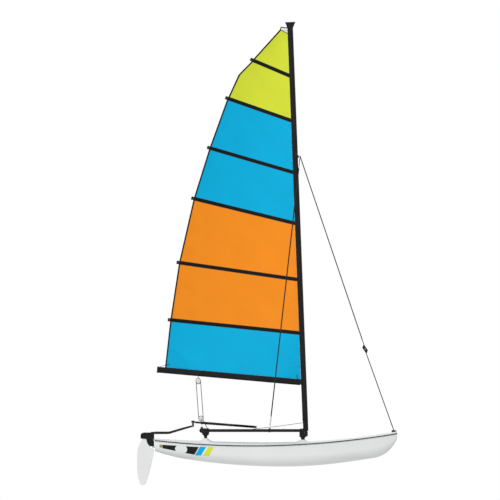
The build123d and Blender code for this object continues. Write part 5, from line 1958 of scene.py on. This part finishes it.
@dataclass
class Fastenings(Assembly):
    """Bolts, screws, rivets and covers of the frame and the rig.

    Attributes:
        sink: How far a head is let into the face it sits on.
        track_screws: Number of screws in the traveller track.
        boom_rise: Rise of the boom towards its rear end, per metre.
        pin: Length of a shroud's pin.
        plate: Thickness of a plate at a shroud's foot.
        plate_across: Distance of a plate from the middle of a shroud.
    """

    sink: float = 0.0004
    track_screws: int = 16
    boom_rise: float = 0.08842
    pin: float = 0.024
    plate: float = 0.003
    plate_across: float = 0.0085

    PAIR, ALONE = (0.03, -0.03), (0.0,)
    # columns: along, height, distances from the hull's middle
    TOP_BOLTS = (
        (-1.272, 0.5277, PAIR),
        (-1.214, 0.5277, PAIR),
        (0.517, 0.4637, PAIR),
        (0.430, 0.5217, ALONE),
        (0.466, 0.5217, ALONE),
    )
    # columns: node, along, height
    SIDE_BOLTS = (("rear_castings", -1.312, 0.490), ("front_castings", 0.490, 0.426))
    BOOM_FRONT = Vector((0.415, 0.0, 1.3386))
    BOOM_RIVETS = (-2.04, -2.00, 0.33, 0.37)
    TRANSOM = -2.1408
    GUDGEON_HEIGHTS = (0.201, 0.321)
    PIN_RISES = (0.050, 0.072, 0.223)
    STAY_JOINT = Vector((0.4157, 0.0, 5.3058))
    FORESTAY_FOOT = Vector((1.531, 0.0, 2.012))
    BRIDLE_HEAD = Vector((1.582, 0.0, 1.832))

    def build(self) -> None:
        """Set all the fastenings, by kind."""
        self.set_bolts()
        self.set_track_screws()
        self.set_boom_rivets()
        self.set_gudgeon_screws()
        self.set_shroud_pins()
        self.cover_stays()

    @staticmethod
    def bolt(radius: float, height: float) -> Piece:
        """Hexagon head on a washer.

        Args:
            radius: Radius of the head.
            height: Height of the head.

        Returns:
            The bolt.
        """
        head = Bench.drum(radius, height, 6)
        Bench.raised(head, radius * 0.14, height * 0.16)
        Bench.rounded(head, radius * 0.07)
        washer = Bench.drum(radius * 1.35, height * 0.28, 24, edge=height * 0.06)
        return Bench.joined("bolt", [head, washer])

    def set_bolts(self) -> None:
        """Bolt the castings to the pylons and beams."""
        places = []
        boxes = {node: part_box(node) for node, _, _ in self.SIDE_BOLTS}
        for sign in SIGNS:
            for along, height, offsets in self.TOP_BOLTS:
                middle = (along, sign * HULL_ACROSS, height)
                places += [frame_along(Vector(middle) + sideways(offset), UP) for offset in offsets]
            for node, along, height in self.SIDE_BOLTS:
                low, high = boxes[node]
                outer = high.y if sign > 0 else low.y
                places.append(frame_along((along, outer - sign * self.sink, height), (0.0, sign, 0.0)))
        bolts = Bench.copies(self.bolt(0.009, 0.006), places)
        self.add("casting_bolts", bolts, "platform", Finishes.DARK_STEEL, "steel")

    def set_track_screws(self) -> None:
        """Screw the traveller track to the rear beam."""
        low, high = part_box("traveller_track")
        screw = Bench.drum(0.005, 0.0016, 16)
        Bench.raised(screw, 0.002, -0.0008)
        Bench.rounded(screw, 0.0004)
        middle, gap = (low.x + high.x) / 2, (high.y - low.y) / self.track_screws
        spots = spaced(low.y + gap / 2, high.y - gap / 2, self.track_screws - 1)
        places = [frame_along((middle, across, high.z - self.sink), UP) for across in spots]
        self.add("track_screws", Bench.copies(screw, places), "platform", Finishes.STEEL, "steel")

    def set_boom_rivets(self) -> None:
        """Rivet the boom's fittings on."""
        places = []
        for along, drop, sign in product(self.BOOM_RIVETS, (-0.018, 0.018), SIGNS):
            height = self.BOOM_FRONT.z + (self.BOOM_FRONT.x - along) * self.boom_rise + drop
            spot, normal = self.boat.hit("boom", (along, sign * 0.3, height), (0.0, -sign, 0.0))
            places.append(frame_along(spot - normal * 0.0003, normal))
        rivets = Bench.copies(Bench.drum(0.005, 0.0024, 14, edge=0.0009), places)
        self.add("boom_rivets", rivets, "boom_sail", Finishes.DARK_STEEL, "steel")

    def set_gudgeon_screws(self) -> None:
        """Screw the gudgeon plates to the transoms."""
        places = []
        corners = product(SIGNS, self.GUDGEON_HEIGHTS, (-0.017, 0.017), (-0.013, 0.013))
        for sign, height, across, lift in corners:
            spot = (self.TRANSOM, sign * HULL_ACROSS + across, height + lift)
            places.append(frame_along(spot, AFT))
        screws = Bench.copies(Bench.drum(0.0045, 0.002, 16, edge=0.0007), places)
        self.add("gudgeon_screws", screws, "platform", Finishes.STEEL, "steel")

    def shroud(self, sign: float) -> tuple[Vector, Vector]:
        """Foot of a shroud and the direction up it."""
        foot = Vector((-0.123, sign * HULL_ACROSS, 0.490))
        return foot, (self.STAY_JOINT - foot).normalized()

    def set_shroud_pins(self) -> None:
        """Pin the shroud adjusters to their anchors, with a head and a split ring on each pin."""
        pieces = []
        for sign in SIGNS:
            foot, way = self.shroud(sign)
            across = (Vector(AHEAD) - way * way.x).normalized()
            facing = way.cross(across)
            for rise in self.PIN_RISES:
                spot = foot + way * rise
                pin = Bench.drum(0.0034, self.pin, 14, edge=0.0008)
                head = Bench.drum(0.0058, 0.003, 18, edge=0.0009)
                ring = Bench.ring(0.007, 0.0009, 20, 6)
                pieces += [
                    Bench.placed(pin, frame_along(spot - facing * (self.pin / 2), facing)),
                    Bench.placed(head, frame_along(spot + facing * 0.0085, facing)),
                    Bench.placed(ring, frame_along(spot - facing * 0.0105 - way * 0.005, across)),
                ]
            for side in SIGNS:
                plate = Bench.slab(0.022, 0.040, self.plate, edge=0.001)
                place = Matrix.Translation(foot + way * 0.062 + facing * (side * self.plate_across))
                sunk = Matrix.Translation((0.0, 0.0, -self.plate / 2))
                pieces.append(Bench.placed(plate, place @ turned(across, way) @ sunk))
        self.add("shroud_pins", pieces, "platform", Finishes.STEEL, "steel")

    def cover_stays(self) -> None:
        """Slide a dark plastic cover over each stay, between the fittings of its ends."""
        shrouds = [(self.shroud(sign)[0], self.STAY_JOINT) for sign in SIGNS]
        bridle = [(self.BRIDLE_HEAD, Vector((2.064, sign * HULL_ACROSS, 0.485))) for sign in SIGNS]
        # columns: name, ends, bare length at the start and at the end, radius
        table = (
            ("shroud_covers", shrouds, 0.250, 0.220, 0.0105),
            ("forestay_cover", [(self.STAY_JOINT, self.FORESTAY_FOOT)], 0.082, 0.082, 0.0092),
            ("bridle_covers", bridle, 0.082, 0.082, 0.0084),
        )
        for name, stays, before, behind, radius in table:
            covers = []
            for start, end in stays:
                way = (end - start).normalized()
                path = straight(start + way * before, end - way * behind, 2)
                covers.append(Bench.line(path, radius, 14))
            self.add(name, covers, "platform", Finishes.PLASTIC, "wire")


@dataclass
class MastGear(Assembly):
    """Sheave, stay shackle, halyard, cleat and control line of the mast.

    Attributes:
        sheave: Height of the sheave up the mast.
        sheave_ahead: Place of the sheave ahead of the mast's axis.
        sheave_width: Width of the sheave.
        sheave_pin: Length of its pin.
        tang: Height of the stays' tang up the mast.
        lead: Place of the halyard and its cleat ahead of the mast's axis.
        cleat: Height of the cleat up the mast, where the halyard ends.
        horn: Length of the cleat's horn.
        cord: Radius of the halyard.
        line: Radius of the control line.
    """

    sheave: float = 7.158
    sheave_ahead: float = -0.03
    sheave_width: float = 0.010
    sheave_pin: float = 0.060
    tang: float = 4.826
    lead: float = 0.004
    cleat: float = 0.62
    horn: float = 0.13
    cord: float = 0.0032
    line: float = 0.004

    BODY = "mast_spar"
    CONTROL_KNOTS = ((0.468, 0.0, 0.628), (0.026, 0.0, 0.565), (-0.351, 0.0, 0.524), (-0.60, 0.0, 0.486))
    CONTROL_START = (0.30, 0.0, 0.60)
    PAD = (-0.60, 0.0, 0.482)

    def build(self) -> None:
        """Make the mast's gear from the head down."""
        self.make_sheave()
        self.make_stay_link()
        self.make_halyard()
        self.make_cleat()
        self.make_control_line()

    def at(self, ahead: float, across: float, height: float) -> Vector:
        """Point given ahead of the mast's axis, across it and up it."""
        foot, up, forward = self.boat.mast()
        return foot + forward * ahead + sideways(across) + up * height

    def make_sheave(self) -> None:
        """Set the halyard's sheave in the masthead's slot."""
        wheel = Bench.drum(0.030, self.sheave_width, 32)
        Bench.groove(wheel, 0.0015, 0.004)
        Finishes.PLASTIC.dress(Bench.smooth(wheel))
        pin = Finishes.DARK_STEEL.dress(Bench.drum(0.0055, self.sheave_pin, 18, edge=0.0012))
        for piece, width in ((wheel, self.sheave_width), (pin, self.sheave_pin)):
            spot = self.at(self.sheave_ahead, -width / 2, self.sheave)
            Bench.placed(piece, frame_along(spot, PORT))
        self.add("masthead_sheave", [wheel, pin], self.BODY, slot="grip")

    def make_stay_link(self) -> None:
        """Shackle the stays to the mast's tang."""
        eye, joint = self.at(0.0575, 0.0, self.tang), self.at(0.088, 0.0, self.tang)
        half = ((eye, 0.009), (mixed(eye, joint, 0.6), 0.009), (joint, 0.004))
        bow = Bench.line(mirrored(half), 0.0035, 10)
        pin = Bench.line([eye + sideways(sign * 0.014) for sign in SIGNS], 0.0042, 12)
        bodies = ("platform", self.BODY)
        self.span("stay_link", [bow, pin], bodies, (joint, eye), Finishes.DARK_STEEL, "steel")

    def make_halyard(self) -> None:
        """Lead the halyard down the mast's port side."""
        points = [self.at(self.lead, 0.0335, height) for height in spaced(self.cleat, 7.07, 60)]
        self.add("halyard", [Bench.line(points, self.cord)], self.BODY, Finishes.CORD, "wire")

    def make_cleat(self) -> None:
        """Screw a horn cleat to the mast below the halyard."""
        up = self.boat.mast()[1]
        horn = Bench.slab(0.014, 0.012, self.horn)
        Bench.choose(horn, lambda face: abs(face.normal.z) > 0.9)
        bpy.ops.transform.resize(value=(0.55, 0.5, 1.0))
        bpy.ops.object.mode_set(mode="OBJECT")
        Bench.rounded(horn, 0.003, 3)
        low_end = self.at(self.lead, 0.050, self.cleat - self.horn / 2)
        Bench.placed(horn, frame_along(low_end, up, PORT))
        foot = Bench.slab(0.018, 0.05, 0.016)
        Bench.push(foot, lambda face: face.normal.z < -0.9, 0.0, (0.0, 0.0, -0.003))
        Bench.rounded(foot, 0.003, 3)
        Bench.placed(foot, frame_along(self.at(self.lead, 0.0315, self.cleat), PORT, up))
        self.add("halyard_cleat", [horn, foot], self.BODY, Finishes.PLASTIC, "grip")

    def make_control_line(self) -> None:
        """Run the thin line from the mast's foot aft to a pad on the trampoline."""
        points = []
        for start, end in zip(self.CONTROL_KNOTS, self.CONTROL_KNOTS[1:]):
            points += straight(start, end, 10)[:-1]
        line = Bench.line([*points, self.CONTROL_KNOTS[-1]], self.line)
        ends = (self.CONTROL_START, self.CONTROL_KNOTS[0])
        self.span("mast_control_line", [line], ("platform", self.BODY), ends, Finishes.CORD, "wire")
        pad = Bench.placed(Bench.drum(0.012, 0.006, 20, edge=0.002), frame_along(self.PAD, UP))
        self.add("control_line_pad", [pad], "platform", Finishes.PLASTIC, "grip")


@dataclass
class Steering(Assembly):
    """Sleeves, grip, hub and bolts of the tillers and rudder heads.

    Attributes:
        sleeve: Radius of a sleeve where it starts.
        sleeve_run: Where the extension's sleeve starts and ends along it.
        turn: Turn of the extension to starboard, in degrees.
        drop: Slope of the extension, in degrees.
        hub: Height of the foot of the extension's hub.
        bolt_across: Distance of a bolt's foot from the middle of a rudder head.
        bolt_height: Height of the bolts.
    """

    sleeve: float = 0.0235
    sleeve_run: tuple[float, float] = (0.15, 0.775)
    turn: float = 20.0
    drop: float = 4.2
    hub: float = 0.6285
    bolt_across: float = 0.0208
    bolt_height: float = 0.448

    STICK = "tiller_stick"
    ROOT = Vector((-1.467, 0.0, 0.638))
    # columns: along, height
    ARM_PATH = ((-2.138, 0.450), (-1.890, 0.450), (-1.620, 0.530), (-1.497, 0.563))
    # columns: name, start, length, radius, finish
    EXTENSION = (
        ("extension_grip", 0.78, 0.37, 0.0212, Finishes.FOAM),
        ("extension_cap", 1.166, 0.022, 0.0205, Finishes.PLASTIC),
        ("extension_joint", 0.026, 0.034, 0.0128, Finishes.PLASTIC),
    )
    BOLTS = (-2.158, -2.19)

    def build(self) -> None:
        """Dress the arms, the extension and the rudder heads."""
        self.make_arm_sleeves()
        self.make_extension()
        self.make_hub()
        self.make_rudder_bolts()

    def make_arm_sleeves(self) -> None:
        """Pull a tapered sleeve over each tiller arm."""
        for side, sign in SIDES.items():
            points = bent([(along, sign * HULL_ACROSS, height) for along, height in self.ARM_PATH], 0.023)
            sleeve = Bench.line(points, self.sleeve, 20, taper=0.72)
            self.add(f"tiller_sleeve_{side}", [sleeve], f"rudder_{side}", Finishes.PLASTIC, "grip")

    def make_extension(self) -> None:
        """Slide a grip, an end cap, a rubber joint and a sleeve on the extension."""
        turn, drop = math.radians(self.turn), math.radians(self.drop)
        way = Vector((math.cos(turn) * math.cos(drop), -math.sin(turn) * math.cos(drop), -math.sin(drop)))
        for name, start, length, radius, finish in self.EXTENSION:
            piece = Bench.drum(radius, length, 28, edge=0.002, segments=3)
            Bench.placed(piece, frame_along(self.ROOT + way * start, way))
            self.add(name, [piece], self.STICK, finish, "grip")
        path = straight(*(self.ROOT + way * run for run in self.sleeve_run), 8)
        sleeve = Bench.line(path, self.sleeve, 20, taper=0.87)
        self.add("extension_sleeve", [sleeve], self.STICK, Finishes.PLASTIC, "grip")

    def make_hub(self) -> None:
        """Set the round hub on which the extension swings."""
        hub = Bench.drum(0.030, 0.0335, 36)
        Bench.raised(hub, 0.010, 0.002)
        Bench.rounded(hub, 0.003, 3)
        Bench.placed(hub, Matrix.Translation((self.ROOT.x, self.ROOT.y, self.hub)))
        self.add("extension_hub", [hub], self.STICK, Finishes.PLASTIC, "grip")

    def make_rudder_bolts(self) -> None:
        """Bolt the tiller arms into the rudder stocks."""
        for side, sign in SIDES.items():
            places = []
            for along, face in product(self.BOLTS, SIGNS):
                spot = (along, sign * HULL_ACROSS + face * self.bolt_across, self.bolt_height)
                places.append(frame_along(spot, (0.0, face, 0.0)))
            bolts = Bench.copies(Fastenings.bolt(0.006, 0.004), places)
            self.add(f"stock_bolts_{side}", bolts, f"rudder_{side}", Finishes.DARK_STEEL, "steel")


NODES_BY_FINISH: dict[Finish, tuple[str, ...]] = {
    Finishes.GELCOAT: ("hull_starboard", "hull_port"),
    Finishes.DECK: ("deck_starboard", "deck_port"),
    Finishes.GUNWALE: ("gunwales",),
    Finishes.CASTING: (
        "pylons", "rear_castings", "front_castings", "traveller_car", "mast_step", "mast_base", "masthead",
        "stock_starboard", "stock_port",
    ),
    Finishes.TUBE: (
        "front_beam", "rear_beam", "side_rails", "tiller_arm_starboard", "tiller_arm_port", "tiller_bar",
        "tiller_extension",
    ),
    Finishes.SPAR: ("mast", "boom"),
    Finishes.TRACK: ("traveller_track",),
    Finishes.STEEL: ("shroud_adjusters", "gudgeons", "pintles"),
    Finishes.DARK_STEEL: (
        "bow_tangs", "stay_shackle", "shroud_anchors", "bridle_link", "pivot_bolt_starboard",
        "pivot_bolt_port",
    ),
    Finishes.WIRE: ("shrouds", "forestay", "bridle_legs"),
    Finishes.PLASTIC: ("boom_cap", "boom_jaws"),
    Finishes.BLADE: ("blade_starboard", "blade_port"),
    Finishes.MESH: ("trampoline",),
    Finishes.LIME_CLOTH: ("sail_lime",),
    Finishes.CYAN_CLOTH: ("sail_cyan_upper", "sail_cyan_lower"),
    Finishes.ORANGE_CLOTH: ("sail_orange",),
    Finishes.TAPE: ("battens",),
    Finishes.WHITE_PLATE: ("headboard",),
}


def main() -> None:
    """Build the boat's looks in order and report each piece."""
    logging.basicConfig(level=logging.INFO, format="%(name)s: %(message)s")
    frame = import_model()
    boat = Boat(frame)
    for finish, nodes in NODES_BY_FINISH.items():
        for node in nodes:
            finish.dress(boat.nodes[node])
    for assembly in (Hulls, Trampoline, Fastenings, MastGear, Sail, Mainsheet, Steering):
        LOG.info("building %s", assembly.__name__)
        assembly(boat).build()
    Studio().build()


if __name__ == "__main__":
    main()
